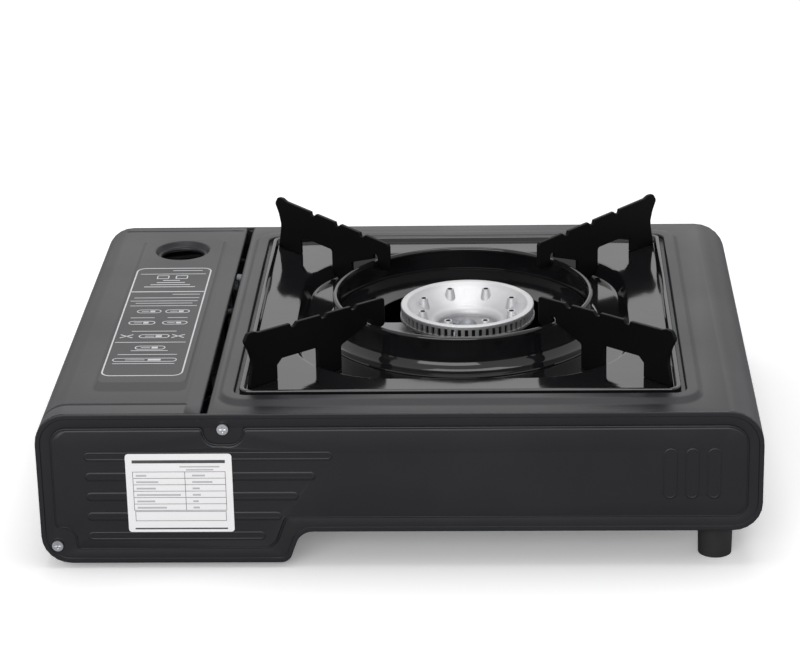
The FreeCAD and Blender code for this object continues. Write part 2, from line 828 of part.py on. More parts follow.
def valve_bracket():
    """L-shaped plate that carries the regulator, open below for the slider."""
    y0 = bracket_y
    y1 = y0 + bracket_sheet
    edge = canister_x + fork_half_width
    right = half_width - bottom_radius
    upright = box(canister_x - 26, right, y0, y1, tray_floor_z, canister_z + 24)
    foot = box(edge + 2.8, right, y0 - 12, y1, tray_floor_z, tray_floor_z + bracket_sheet)
    gate = box(canister_x - 29, edge + 2.5, y0 - 1, y1 + 1, tray_floor_z - 1, slider_z + slider_sheet + 2)
    hole = along_y(nozzle_radius, canister_x, canister_z, y0 - 1, y1 + 1)
    left_foot = box(canister_x - 38, canister_x - 29, y0, y1, tray_floor_z, slider_z + 14)
    left_link = box(canister_x - 38, canister_x - 20, y0, y1, slider_z + 6, slider_z + 14)
    return join([upright, foot, left_foot, left_link]).cut(hole).cut(gate)


def regulator_body():
    body = along_y(regulator_radius, canister_x, canister_z, regulator_front_y, bracket_y)
    nozzle = along_y(nozzle_radius, canister_x, canister_z, bracket_y - 1, socket_y)
    middle = (regulator_front_y + bracket_y) / 2
    top = canister_z + housing_rise
    housing_low = cone(8, housing_radius, (canister_x, middle, canister_z), (canister_x, middle, top))
    housing = upright(housing_radius, canister_x, middle, top - 5, top)
    port = along_x(5, pipe_y, canister_z, canister_x - regulator_radius - 4, canister_x)
    body = join([body, nozzle, housing_low, housing, port])
    bore = cylinder(stem_bore_radius, (canister_x, socket_y - stem_bore_length, canister_z),
                    (canister_x, socket_y + 1, canister_z))
    shaft = cylinder(spindle_radius + spindle_play, (canister_x, regulator_front_y - 1, canister_z),
                     (canister_x, regulator_front_y + 11, canister_z))
    return body.cut(bore).cut(shaft)


def diaphragm():
    middle = (regulator_front_y + bracket_y) / 2
    low = canister_z + housing_rise
    return upright(housing_radius, canister_x, middle, low, low + 0.8)


def regulator_cover():
    middle = (regulator_front_y + bracket_y) / 2
    low = canister_z + housing_rise + 0.8
    cap = upright(housing_radius, canister_x, middle, low, low + 6)
    edges = [e for e in cap.Edges if e.BoundBox.ZMin > low + 5.9]
    cap = cap.makeFillet(1.5, edges)
    hollow = upright(housing_radius - 2, canister_x, middle, low - 1, low + 4.5)
    vent = upright(0.8, canister_x, middle, low, low + 7)
    return cap.cut(hollow).cut(vent)


def socket_plate():
    y0 = bracket_y + bracket_sheet
    plate = along_y(21, canister_x, canister_z, y0, y0 + 1.6)
    hole = along_y(nozzle_radius, canister_x, canister_z, y0 - 1, y0 + 3)
    return plate.cut(hole)


def locating_tab():
    y0 = bracket_y + bracket_sheet + 1.6
    return box(canister_x - 2, canister_x + 2, y0, y0 + 9, canister_z + 15, canister_z + 18.5)


def socket_seal():
    ring = along_y(5, canister_x, canister_z, socket_y, socket_y + 1.5)
    hole = cylinder(stem_bore_radius + 0.3, (canister_x, socket_y - 1, canister_z),
                    (canister_x, socket_y + 3, canister_z))
    return ring.cut(hole)


def valve_body():
    y1 = regulator_front_y
    y0 = y1 - valve_length
    body = along_y(valve_radius, canister_x, canister_z, y0, y1)
    shaft = along_y(spindle_radius + spindle_play, canister_x, canister_z, y0 - 1, y1 + 1)
    return body.cut(shaft)


def valve_spindle():
    stem = cylinder(spindle_radius, (canister_x, knob_front_y + 6, canister_z),
                    (canister_x, regulator_front_y + 10, canister_z))
    flat = box(canister_x - 5, canister_x + 5, knob_front_y, -half_depth - knob_gap,
               canister_z + spindle_radius - 0.8,
               canister_z + 5)
    return stem.cut(flat)


def knob():
    back = -half_depth - knob_gap
    skirt_front = back - 8
    disc = along_y(knob_radius, canister_x, canister_z, skirt_front, back)
    edges = [e for e in disc.Edges if e.BoundBox.YMax < skirt_front + 0.1]
    disc = disc.makeFillet(2.0, edges)
    half = knob_radius - 1.5
    grip = slab_xz(rectangle(canister_x, canister_z, 2 * half, 9, 4), knob_front_y, skirt_front + 1)
    edges = [e for e in grip.Edges if e.BoundBox.YMax < knob_front_y + 0.1]
    grip = grip.makeFillet(1.5, edges)
    whole = join([disc, grip])
    hole = along_y(spindle_radius, canister_x, canister_z, knob_front_y + 6, back + 1)
    flat = box(canister_x - 5, canister_x + 5, knob_front_y + 5, back + 1,
               canister_z + spindle_radius - 0.8,
               canister_z + 5)
    hollow = along_y(knob_radius - 2, canister_x, canister_z, skirt_front + 2.5, back + 1)
    hub = along_y(spindle_radius + 2.5, canister_x, canister_z, skirt_front + 2, back)
    return join([whole.cut(hollow), hub]).cut(hole.cut(flat))


def piezo_cam():
    """Disc whose radius grows steadily, clockwise as seen from the front."""
    spots = []
    steps = 12
    for i in range(steps + 1):
        share = i / steps
        angle = math.radians(12 - (cam_angle + 24) * share)
        radius = cam_base_radius + cam_rise * ((cam_angle + 24) * share - 12) / cam_angle
        spots.append(V(canister_x + radius * math.cos(angle), cam_y, canister_z + radius * math.sin(angle)))
    curve = Part.BSplineCurve()
    curve.interpolate(spots)
    back_angle = math.radians(-230)
    back = V(canister_x + cam_base_radius * math.cos(back_angle), cam_y,
             canister_z + cam_base_radius * math.sin(back_angle))
    edges = [curve.toShape(), Part.Arc(spots[-1], back, spots[0]).toShape()]
    disc = Part.Face(Part.Wire(edges)).extrude(V(0, cam_width, 0))
    return disc.cut(cylinder(spindle_radius, (canister_x, cam_y - 1, canister_z),
                             (canister_x, cam_y + cam_width + 1, canister_z)))


def piezo_axis():
    return cam_y + cam_width / 2


def plunger_tip_x():
    return canister_x + cam_base_radius + contact_gap


def piezo_plunger():
    tip = plunger_tip_x()
    y = piezo_axis()
    nose = Part.makeSphere(plunger_radius, V(tip + plunger_radius, y, canister_z))
    rod = along_x(plunger_radius, y, canister_z, tip + plunger_radius, tip + plunger_length)
    return join([nose, rod])


def piezo_igniter():
    y = piezo_axis() + 1.6
    start = plunger_tip_x() + 5
    end = min(start + piezo_length, half_width - sheet - 1)
    body = slab_yz([(y - 5, canister_z - 6, 1), (y + 5, canister_z - 6, 1), (y + 5, canister_z + 6, 1),
                    (y - 5, canister_z + 6, 1)], start, end)
    hole = cylinder(plunger_radius + 0.08, (start - 1, piezo_axis(), canister_z),
                    (start + plunger_length + cam_rise, piezo_axis(), canister_z))
    return body.cut(hole)


def piezo_clip():
    """Angle that stands on the tray and holds the igniter from below."""
    y = piezo_axis() + 1.6
    start = plunger_tip_x() + 7
    end = half_width - bottom_radius
    stand = box(start, end, y - 1, y + 0.2, tray_floor_z, canister_z - 6)
    shelf = box(start, end, y - 5, y + 5, canister_z - 7.2, canister_z - 6)
    foot = box(start, end, y - 1, y + 9, tray_floor_z, tray_floor_z + 1.2)
    return join([stand, shelf, foot])


def path_tube(points, radius, name, largest_bend=1000.0):
    """Round tube along straight runs joined by tangent arcs."""
    spots = [V(*p) for p in points]
    edges = []
    start = spots[0]
    radii = []
    for i in range(1, len(spots) - 1):
        to_a = (spots[i - 1] - spots[i])
        to_c = (spots[i + 1] - spots[i])
        shorter = min(to_a.Length, to_c.Length)
        turn = math.pi - to_a.getAngle(to_c)
        reach = min(0.45 * shorter, largest_bend * math.tan(turn / 2))
        bend = reach / math.tan(turn / 2)
        to_a.normalize()
        to_c.normalize()
        centre = spots[i] + (to_a + to_c).normalize() * (bend / math.cos(turn / 2))
        first = spots[i] + to_a * reach
        last = spots[i] + to_c * reach
        middle = centre + (spots[i] - centre).normalize() * bend
        edges.append(Part.LineSegment(start, first).toShape())
        edges.append(Part.Arc(first, middle, last).toShape())
        start = last
        radii.append(round(bend, 1))
    edges.append(Part.LineSegment(start, spots[-1]).toShape())
    path = Part.Wire(edges)
    direction = spots[1] - spots[0]
    section = Part.Wire(Part.makeCircle(radius, spots[0], direction))
    tube = path.makePipeShell([section], True, False)
    ratio = tube.Volume / (math.pi * radius ** 2 * path.Length)
    print(name, "bend radii", radii, "volume ratio", round(ratio, 4))
    return tube


def gas_pipe():
    start = canister_x - regulator_radius - 4
    height = tube_z
    middle = injector_x + injector_length / 2
    points = [(start, pipe_y, canister_z), (middle, pipe_y, canister_z),
              (middle, pipe_y + 30, canister_z + 4),
              (middle, pipe_y + 64, height), (middle, -injector_radius, height)]
    return path_tube(points, pipe_radius, "gas_pipe", pipe_bend)


def injector():
    x0 = injector_x
    x1 = x0 + injector_length
    body = along_x(injector_radius, 0, tube_z, x0 + 3, x1)
    tip = cone(1.8, 3.4, (x0, 0, tube_z), (x0 + 3, 0, tube_z))
    jet = along_x(0.6, 0, tube_z, x0 - 1, x0 + 6)
    middle = x0 + injector_length / 2
    block = box(middle - 3.5, middle + 3.5, -injector_radius, 0, tube_z - 3.5, tube_z + 3.5)
    return join([body, tip, block]).cut(jet)


def injector_bracket():
    x0 = injector_x + injector_length
    floor = base_floor_z if x0 < tray_step_x - 5 else tray_floor_z
    plate = box(x0, x0 + 1.2, -9, 9, floor, tube_z + 8)
    foot = box(x0 - 12, x0 + 0.1, -9, 9, floor, floor + 1.2)
    return join([plate, foot])


def electrode_place():
    return (burner_x + 6.0, burner_rim_radius + 4.5)


def electrode_ceramic():
    x, y = electrode_place()
    seat = burner_bottom_z
    rod = upright(ceramic_radius, x, y, seat - ceramic_drop, flame_bottom_z - 3)
    collar = upright(ceramic_radius + 1, x, y, seat, seat + 3)
    hole = upright(electrode_radius, x, y, seat - 10, deck_z + 10)
    return join([rod, collar]).cut(hole)


def electrode_wire():
    x, y = electrode_place()
    top = flame_bottom_z + 2.2
    low = burner_bottom_z - ceramic_drop
    points = [(x, y, low), (x, y, flame_bottom_z - 1), (x, y - 0.9, top), (x, y - 2.4, top + 1.6)]
    parts = []
    for i in range(3):
        parts.append(cylinder(electrode_radius, points[i], points[i + 1]))
    for p in points[1:3]:
        parts.append(Part.makeSphere(electrode_radius, V(*p)))
    return join(parts)


def electrode_bracket():
    """Strip from the burner bracket out to the ceramic."""
    x, y = electrode_place()
    high = burner_bottom_z
    low = high - bracket_sheet
    strip = box(x - 5, x + 5, burner_bracket_width / 2, y + 5, low, high)
    hole = upright(ceramic_radius, x, y, low - 1, high + 1)
    return strip.cut(hole)


def lead_route():
    """Igniter lead, from the igniter over the valve, through the divider and round to the electrode."""
    ex, ey = electrode_place()
    start_x = plunger_tip_x() + 18
    high = canister_z + 26.7
    return [
        (start_x, piezo_axis() + 6.6, canister_z), (start_x, front_y + 30, canister_z),
        (canister_x + 24, front_y + 34, high - 10), (canister_x + 15, front_y + 20, high),
        (canister_x - 19, front_y + 10, high), (divider_x + sheet / 2, *lead_gate),
        (divider_x - 28, front_y + 30, base_z + 32.8), (divider_x - 58, front_y + 58, base_z + 16.8),
        (burner_x + 47.3, front_y + 98, base_z + 8.8), (burner_x + 45.3, 2, base_z + 7.8),
        (burner_x + 23.3, ey - 8.6, base_z + 11.8), (ex, ey, base_z + 18.3),
        (ex, ey, burner_bottom_z - ceramic_drop),
    ]


def ignition_lead():
    return path_tube(lead_route(), lead_radius, "ignition_lead")


def around_pivot(shape, angle):
    shape = shape.copy()
    shape.rotate(V(0, lever_pivot_y, lever_pivot_z), V(1, 0, 0), angle)
    return shape


def lock_lever():
    """Bell crank: the long arm goes out through the front, the short one carries the link pin."""
    y = lever_pivot_y
    z = lever_pivot_z
    x0 = lever_x
    x1 = x0 + lever_sheet
    half = lever_height / 2
    long_arm = slab_yz([(y - lever_reach, z - half, 1), (y + 6, z - half, 3), (y + 6, z + half, 3),
                        (y - lever_reach, z + half, 1)], x0, x1)
    short_arm = slab_yz([(y - 5, z, 0.5), (y + 5, z, 0.5), (y + 4, z + link_radius + 4, 3),
                         (y - 4, z + link_radius + 4, 3)], x0, x1)
    pin = along_x(link_pin_radius, y, z + link_radius, x1 - 1, x1 + 5)
    hole = along_x(lever_pivot_radius + hinge_play, y, z, x0 - 1, x1 + 1)
    return around_pivot(join([long_arm, short_arm, pin]).cut(hole), -lever_angle / 2)


def lever_tip():
    y1 = lever_pivot_y - lever_reach + 9
    y0 = lever_pivot_y - lever_reach - 1.5
    z = lever_pivot_z
    x = lever_x + lever_sheet / 2
    pad = box(x - 6.5, x + 6.5, y0, y1, z - 6, z + 6)
    edges = [e for e in pad.Edges if e.BoundBox.XLength > 12]
    pad = pad.makeFillet(2.5, edges)
    half = lever_height / 2
    slot = slab_yz([(lever_pivot_y - lever_reach, z - half, 1), (y1 + 5, z - half), (y1 + 5, z + half),
                    (lever_pivot_y - lever_reach, z + half, 1)], lever_x, lever_x + lever_sheet)
    return around_pivot(pad.cut(slot), -lever_angle / 2)


def lever_bracket():
    """Plate beside the lever, standing on the tray."""
    y = lever_pivot_y
    x1 = lever_x - 0.5
    x0 = x1 - 1.2
    plate = box(x0, x1, y - 7, y + 7, tray_floor_z, lever_pivot_z + 6)
    foot = box(divider_x + sheet, x1, y - 7, y + 7, tray_floor_z, tray_floor_z + 1.2)
    hole = along_x(lever_pivot_radius, y, lever_pivot_z, x0 - 1, x1 + 1)
    return join([plate, foot]).cut(hole)


def lever_pivot():
    y = lever_pivot_y
    x0 = lever_x - 0.5 - 1.2
    x1 = lever_x + lever_sheet
    pin = along_x(lever_pivot_radius, y, lever_pivot_z, x0, x1 + 0.4)
    head = along_x(lever_pivot_radius + 1.5, y, lever_pivot_z, x0 - 1, x0)
    clip = along_x(lever_pivot_radius + 1.2, y, lever_pivot_z, x1 + 0.4, x1 + 1.1)
    return join([pin, head, clip])


def link_y():
    return lever_pivot_y + link_radius * math.sin(math.radians(lever_angle / 2))


def canister_slider():
    """Plate under the regulator: a slotted tab for the lever at one end, a fork at the other."""
    tab_x = lever_x + lever_sheet + 1.8
    link_top = lever_pivot_z + link_radius
    y = link_y()
    tab = box(tab_x, tab_x + slider_sheet, y - 5.5, y + 5.5, slider_z, link_top + 7)
    half = link_pin_radius + link_play
    slot = box(tab_x - 1, tab_x + slider_sheet + 1, y - half, y + half, link_top - 5, link_top + 4)
    edge = canister_x + fork_half_width
    plate = box(tab_x, edge, fork_y - 33, fork_y, slider_z, slider_z + slider_sheet)
    strip = box(tab_x, tab_x + 9, y - 5.5, fork_y - 30, slider_z, slider_z + slider_sheet)
    fork = box(canister_x - fork_half_width, edge, fork_y - slider_sheet, fork_y, slider_z, canister_z + 2)
    notch = along_y(fork_radius, canister_x, canister_z, fork_y - 5, fork_y + 5)
    mouth = box(canister_x - fork_radius, canister_x + fork_radius, fork_y - 5, fork_y + 5, canister_z,
                canister_z + 10)
    notch = join([notch, mouth])
    return join([tab, plate, strip, fork]).cut(slot).cut(notch)


def slider_guides():
    guides = []
    y = fork_y - 32
    for x0 in (canister_x - guide_outer, canister_x + guide_inner):
        x1 = x0 + guide_outer - guide_inner
        guides.append(box(x0, x1, y, y + guide_length, tray_floor_z, slider_z - 0.3))
    edge = canister_x + fork_half_width + 0.3
    top = slider_z + slider_sheet
    rail = box(edge, edge + 2, y - 2, y - 2 + rail_length, tray_floor_z, top + 1.5)
    lip = box(edge - 4, edge + 2, y, y + 8, top + 0.3, top + 1.5)
    guides.append(join([rail, lip]))
    return Part.makeCompound(guides)


def long_feet():
    feet = []
    for side in (-1, 1):
        y = side * foot_y
        body = cone(foot_radius - 0.4, foot_radius, (-foot_x, y, 0), (-foot_x, y, base_z))
        stud = upright(screw_radius * 2, -foot_x, y, base_z - 1, base_floor_z + 1.5)
        feet.append(join([body, stud]))
    return Part.makeCompound(feet)


def rubber_pads():
    pads = []
    for x in (pad_x, pad_far_x):
        for side in (-1, 1):
            pads.append(upright(pad_radius, x, side * pad_y, 0, tray_z))
    return Part.makeCompound(pads)


def case_screws():
    screws = []
    for side in (-1, 1):
        for x, z in screw_places():
            seat = side * panel_outer_y
            head = along_y(screw_head_radius, x, z, seat, seat + side * screw_head_height)
            shank = cylinder(screw_radius, (x, side * (panel_inner_y - 5), z), (x, seat, z))
            ends = sorted((side * (panel_outer_y + 0.4), side * (panel_outer_y + 5)))
            cross = [box(x - 1.6, x + 1.6, *ends, z - 0.3, z + 0.3),
                     box(x - 0.3, x + 0.3, *ends, z - 1.6, z + 1.6)]
            screws.append(join([head, shank]).cut(join(cross)))
    return Part.makeCompound(screws)


def rating_label():
    y = half_depth
    return slab_xz(rectangle(label_x, label_z, label_width, label_height, 1.5), y, y + label_thickness)


def main():
    save("top_shell", top_shell())
    save("base_pan", base_pan())
    save("back_panel", end_panel(1))
    save("front_panel", front_panel())
    save("divider", divider())
    save("drip_pan", drip_pan())
    save("wind_ring", wind_ring())
    save("arm_back_right", arm(45))
    save("arm_back_left", arm(135))
    save("arm_front_left", arm(225))
    save("arm_front_right", arm(315))
    save("burner_body", burner_body())
    save("flame_ring", flame_ring())
    save("burner_cap", burner_cap())
    save("burner_clamp", burner_clamp())
    save("mixing_tube", mixing_tube())
    save("burner_bracket", burner_bracket())
    save("lid", lid())
    save("lid_hinge_pins", lid_hinge_pins())
    save("canister_cradle", canister_cradle())
    save("valve_bracket", valve_bracket())
    save("regulator_body", regulator_body())
    save("diaphragm", diaphragm())
    save("regulator_cover", regulator_cover())
    save("socket_plate", socket_plate())
    save("locating_tab", locating_tab())
    save("socket_seal", socket_seal())
    save("valve_body", valve_body())
    save("valve_spindle", valve_spindle())
    save("knob", knob())
    save("piezo_cam", piezo_cam())
    save("piezo_plunger", piezo_plunger())
    save("piezo_igniter", piezo_igniter())
    save("piezo_clip", piezo_clip())
    save("gas_pipe", gas_pipe())
    save("injector", injector())
    save("injector_bracket", injector_bracket())
    save("electrode_ceramic", electrode_ceramic())
    save("electrode_wire", electrode_wire())
    save("electrode_bracket", electrode_bracket())
    save("ignition_lead", ignition_lead())
    save("lock_lever", lock_lever())
    save("lever_tip", lever_tip())
    save("lever_bracket", lever_bracket())
    save("lever_pivot", lever_pivot())
    save("canister_slider", canister_slider())
    save("slider_guides", slider_guides())
    save("long_feet", long_feet())
    save("rubber_pads", rubber_pads())
    save("case_screws", case_screws())
    save("rating_label", rating_label())


main()
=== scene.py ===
# %% [markdown]
# # A butane cassette stove
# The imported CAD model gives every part, its size and how it moves. This lesson dresses it: thin
# stamped sheet gets its soft bends, and each part gets the finish that the real one has.
# All lengths below are millimetres about the middle of the casing. The last step of each piece
# turns them into metres and moves them back by half the knob, which is where the frame's origin is.

# %% Load the frame
import math

import bmesh
import bpy
from mathutils import Matrix, Vector


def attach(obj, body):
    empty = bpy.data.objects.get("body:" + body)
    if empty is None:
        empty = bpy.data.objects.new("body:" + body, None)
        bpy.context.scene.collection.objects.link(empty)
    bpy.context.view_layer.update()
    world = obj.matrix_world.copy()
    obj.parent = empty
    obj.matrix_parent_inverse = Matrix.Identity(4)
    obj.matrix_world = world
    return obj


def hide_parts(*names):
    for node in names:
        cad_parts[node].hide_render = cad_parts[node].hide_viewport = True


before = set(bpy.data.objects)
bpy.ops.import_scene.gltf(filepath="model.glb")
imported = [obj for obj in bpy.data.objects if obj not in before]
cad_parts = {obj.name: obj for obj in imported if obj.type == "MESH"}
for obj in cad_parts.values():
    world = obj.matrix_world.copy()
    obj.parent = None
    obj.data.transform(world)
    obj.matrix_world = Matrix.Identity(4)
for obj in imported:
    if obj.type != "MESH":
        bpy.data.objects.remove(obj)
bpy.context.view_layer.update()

# %% [markdown]
# ## Camera
# The stove is seen from behind and a little above with a long lens, so that near and far edges are
# almost the same length. The angles were solved from the casing's corners and the two round rims.

# %% Camera
EYE = (-0.05509, 1.34853, 0.59683)
LENS = 125.66
LOOK_DOWN = 21.383
HEADING = 182.507
ROLL = -1.28

camera_data = bpy.data.cameras.new("camera")
camera_data.sensor_fit = "HORIZONTAL"
camera_data.sensor_width = 36
camera_data.lens = LENS
camera_data.clip_end = 50
camera = bpy.data.objects.new("camera", camera_data)
camera.matrix_world = (
    Matrix.Translation(EYE)
    @ Matrix.Rotation(math.radians(HEADING), 4, "Z")
    @ Matrix.Rotation(math.radians(90 - LOOK_DOWN), 4, "X")
    @ Matrix.Rotation(math.radians(ROLL), 4, "Z")
)
bpy.context.scene.collection.objects.link(camera)
bpy.context.scene.camera = camera
bpy.context.scene.view_settings.view_transform = "Standard"
print("camera at", tuple(camera.location))

# %% [markdown]
# ## Writing shader maths
# A finish is a small calculation: noise, times a factor, added to a roughness. Building each Math
# node by hand hides that, so one class stands for a number on a socket, and Python's own operators
# add the nodes. Another holds a material's tree and makes any node from its type and inputs.

# %% The shader helpers
class Value:
    """A number on a node's output. Maths on it adds Math nodes."""

    def __init__(self, finish, socket):
        self.finish = finish
        self.socket = socket

    def math(self, operation, *values):
        return self.finish.node("ShaderNodeMath", {"operation": operation}, values)

    def __add__(self, other):
        return self.math("ADD", self, other)

    def __radd__(self, other):
        return self.math("ADD", other, self)

    def __sub__(self, other):
        return self.math("SUBTRACT", self, other)

    def __rsub__(self, other):
        return self.math("SUBTRACT", other, self)

    def __mul__(self, other):
        return self.math("MULTIPLY", self, other)

    def __rmul__(self, other):
        return self.math("MULTIPLY", other, self)


class Finish:
    """One material: its tree, its Principled shader, and a method that makes any node."""

    def __init__(self, name, constants):
        self.material = bpy.data.materials.new(name)
        self.material.use_nodes = True
        self.tree = self.material.node_tree
        self.tree.nodes.clear()
        self.shader = self.tree.nodes.new("ShaderNodeBsdfPrincipled")
        output = self.tree.nodes.new("ShaderNodeOutputMaterial")
        self.tree.links.new(self.shader.outputs[0], output.inputs[0])
        for socket, value in constants.items():
            self.shader.inputs[socket].default_value = value
        place = self.tree.nodes.new("ShaderNodeTexCoord")
        self.place = Value(self, place.outputs["Object"])

    def node(self, kind, settings, inputs, output=0):
        made = self.tree.nodes.new(kind)
        for setting, value in settings.items():
            if setting == "stops":
                self.set_stops(made.color_ramp, value)
            else:
                setattr(made, setting, value)
        pairs = inputs.items() if isinstance(inputs, dict) else enumerate(inputs)
        for socket, value in pairs:
            self.feed(made.inputs[socket], value)
        return Value(self, made.outputs[output])

    def set_stops(self, ramp, stops):
        while len(ramp.elements) < len(stops):
            ramp.elements.new(0.5)
        for element, (position, colour) in zip(ramp.elements, stops):
            element.position = position
            element.color = colour

    def feed(self, socket, value):
        if isinstance(value, Value):
            self.tree.links.new(value.socket, socket)
        else:
            socket.default_value = value

    def surface(self, **values):
        for socket, value in values.items():
            self.feed(self.shader.inputs[socket.replace("_", " ")], value)

    def noise(self, scale, detail=2.0, stretch=None):
        place = self.place
        if stretch is not None:
            place = self.node("ShaderNodeMapping", {}, {"Vector": place, "Scale": stretch})
        return self.node("ShaderNodeTexNoise", {}, {"Vector": place, "Scale": scale, "Detail": detail})

    def ramp(self, value, low, high):
        """Value from low to high becomes 0 to 1, held at the ends."""
        inputs = {"Value": value, "From Min": low, "From Max": high}
        return self.node("ShaderNodeMapRange", {"clamp": True}, inputs)

    def colour(self, share, first, second):
        inputs = {0: share, 6: (*first, 1), 7: (*second, 1)}
        return self.node("ShaderNodeMix", {"data_type": "RGBA"}, inputs, 2)

    def bump(self, height, strength, distance):
        inputs = {"Height": height, "Strength": strength, "Distance": distance}
        return self.node("ShaderNodeBump", {}, inputs)

    def cell(self, scale):
        inputs = {"Vector": self.place, "Scale": scale}
        return self.node("ShaderNodeTexVoronoi", {"feature": "F1"}, inputs)


# %% [markdown]
# ## Painted steel
# The casing is satin black powder coat. Powder melts into a skin with a very fine orange peel, it
# is a little greyer and duller where it is handled, and it carries a few specks of dust. The peel
# is a bump of two noises; the handling marks are a slow noise that moves roughness and colour.

# %% Painted steel
def powder_coat(name, base, worn, roughness, shine):
    finish = Finish(name, {"IOR": 1.5, "Specular IOR Level": shine})
    grain = finish.noise(2600, 3)
    peel = finish.noise(700, 2)
    hands = finish.ramp(finish.noise(14, 4), 0.42, 0.72)
    specks = finish.ramp(finish.noise(3400, 1), 0.76, 0.8)
    tone = finish.colour(hands * 0.35 + specks * 0.25, base, worn)
    skin = grain * 0.6 + peel * 0.8
    finish.surface(
        Base_Color=tone,
        Roughness=hands * 0.06 + grain * 0.08 + roughness,
        Normal=finish.bump(skin, 0.22, 0.00012),
    )
    return finish.material


CASE_PAINT = powder_coat("case_paint", (0.0105, 0.0105, 0.0135), (0.018, 0.018, 0.022), 0.34, 0.46)
ARM_PAINT = powder_coat("arm_paint", (0.0016, 0.0016, 0.0018), (0.004, 0.004, 0.004), 0.42, 0.12)
# The next near-black paint is painted shade: it fills the jets' bores and the gaps between the flame
# ring's teeth.
SHADE_PAINT = powder_coat("shade_paint", (0.004, 0.004, 0.004), (0.009, 0.008, 0.008), 0.7, 0.2)
print("paints", CASE_PAINT.name, ARM_PAINT.name)

# %% [markdown]
# ## Enamel
# The drip pan and the wind ring are glass enamel on steel: nearly black, and glossy enough to
# mirror the arms that stand on it. Fired enamel is never quite flat, so it gets a long slow wave
# and a few pinholes, and the heat leaves a slightly duller haze.

# %% Enamel
def enamel():
    finish = Finish("enamel", {"IOR": 1.55})
    wave = finish.noise(45, 2)
    pits = finish.ramp(finish.cell(900), 0.0, 0.09)
    haze = finish.ramp(finish.noise(22, 4), 0.45, 0.75)
    finish.surface(
        Base_Color=finish.colour(haze, (0.006, 0.006, 0.007), (0.011, 0.011, 0.012)),
        Roughness=haze * 0.05 + 0.07,
        Normal=finish.bump(wave + pits * 0.02, 0.12, 0.0008),
    )
    return finish.material


ENAMEL = enamel()
print("enamel", ENAMEL.name)

# %% [markdown]
# ## Bare metals
# The burner's dish is turned aluminium and its body a duller casting. Screws and the regulator are
# bright zinc-plated steel, and valve and gas jet are brass. Brackets, pipe and lever inside take a
# rougher and darker copy of the zinc; its darker colour is painted shade for the inside of the casing.
# All share one recipe, a metal whose roughness follows a noise, and differ in tint and grain.

# %% Bare metals
def bare_metal(name, light, dark, roughness, spread, scale, stretch, depth):
    finish = Finish(name, {"Metallic": 1.0})
    marks = finish.noise(scale, 4, stretch)
    blotch = finish.noise(60, 3)
    finish.surface(
        Base_Color=finish.colour(finish.ramp(blotch, 0.35, 0.7), light, dark),
        Roughness=marks * spread + roughness,
        Normal=finish.bump(marks, depth, 0.0001),
    )
    return finish.material


ALUMINIUM = bare_metal("aluminium", (0.63, 0.63, 0.64), (0.56, 0.56, 0.58), 0.44, 0.2, 1500, None, 0.25)
CAST = bare_metal("cast_aluminium", (0.40, 0.40, 0.41), (0.33, 0.33, 0.34), 0.50, 0.2, 900, None, 0.4)
# The next zinc is a rougher, darker copy for parts inside the casing: its darker colour is painted
# shade.
DULL_SHADED_ZINC = bare_metal("dull_shaded_zinc", (0.30, 0.31, 0.33), (0.22, 0.23, 0.25), 0.45, 0.25, 260, None, 0.10)
ZINC = bare_metal("zinc_steel", (0.72, 0.73, 0.76), (0.58, 0.59, 0.62), 0.22, 0.25, 260, None, 0.10)
BRASS = bare_metal("brass", (0.80, 0.62, 0.30), (0.66, 0.48, 0.22), 0.24, 0.2, 900, (1, 12, 1), 0.15)
print("metals", ALUMINIUM.name, ZINC.name, BRASS.name)

# %% [markdown]
# ## Plastics, rubber, ceramic and print
# Moulded parts carry a spark-eroded grain, rubber is dull and dusty, the spark plug's ceramic has
# a thin glaze, and the label is coated paper. Each is one noise at the right scale.

# %% Plastics, rubber, ceramic and print
def grained(name, light, dark, roughness, spread, scale, depth):
    finish = Finish(name, {"IOR": 1.47})
    grain = finish.noise(scale, 3)
    cloud = finish.ramp(finish.noise(35, 3), 0.35, 0.7)
    finish.surface(
        Base_Color=finish.colour(cloud, light, dark),
        Roughness=grain * spread + roughness,
        Normal=finish.bump(grain, depth, 0.0001),
    )
    return finish.material


PLASTIC = grained("black_plastic", (0.012, 0.012, 0.013), (0.020, 0.020, 0.021), 0.34, 0.2, 2200, 0.35)
RUBBER = grained("rubber", (0.016, 0.016, 0.016), (0.032, 0.031, 0.030), 0.62, 0.2, 1300, 0.4)
CERAMIC = grained("ceramic", (0.86, 0.85, 0.81), (0.78, 0.77, 0.73), 0.16, 0.08, 500, 0.05)
PAPER = grained("label_paper", (0.98, 0.97, 0.98), (0.95, 0.94, 0.95), 0.42, 0.1, 1200, 0.06)
WHITE_INK = grained("white_ink", (0.66, 0.66, 0.68), (0.56, 0.56, 0.58), 0.5, 0.1, 1500, 0.1)
PALE_INK = grained("pale_ink", (0.52, 0.51, 0.53), (0.60, 0.59, 0.61), 0.5, 0.1, 1500, 0.1)
DARK_INK = grained("dark_ink", (0.06, 0.058, 0.066), (0.09, 0.088, 0.096), 0.5, 0.1, 1500, 0.1)
print("moulded and printed finishes made")

# %% [markdown]
# ## Tools for thin sheet
# Every pressed piece starts the same way: rounded rectangles or circles are laid at their heights
# and bridged into a skin, its creases are bevelled into bends, and Solidify gives it the metal's
# thickness. Corners come from bevelling the corner points, as a press tool's corners do.

# %% Tools for thin sheet
CASE_SHIFT = 9.25
BODY_OF_CASE = "casing"


def at(x, y, z):
    return Matrix.Translation((x, y, z))


def turned(degrees, axis):
    return Matrix.Rotation(math.radians(degrees), 4, axis)


def edges_of(faces):
    return list({edge for face in faces for edge in face.edges})


def verts_of(items):
    return [item for item in items if isinstance(item, bmesh.types.BMVert)]


def block(bm, place, size):
    """A box of this size at a place, which may also be turned. Returns its points."""
    sized = place @ Matrix.Diagonal((*size, 1))
    return bmesh.ops.create_cube(bm, size=1, matrix=sized)["verts"]


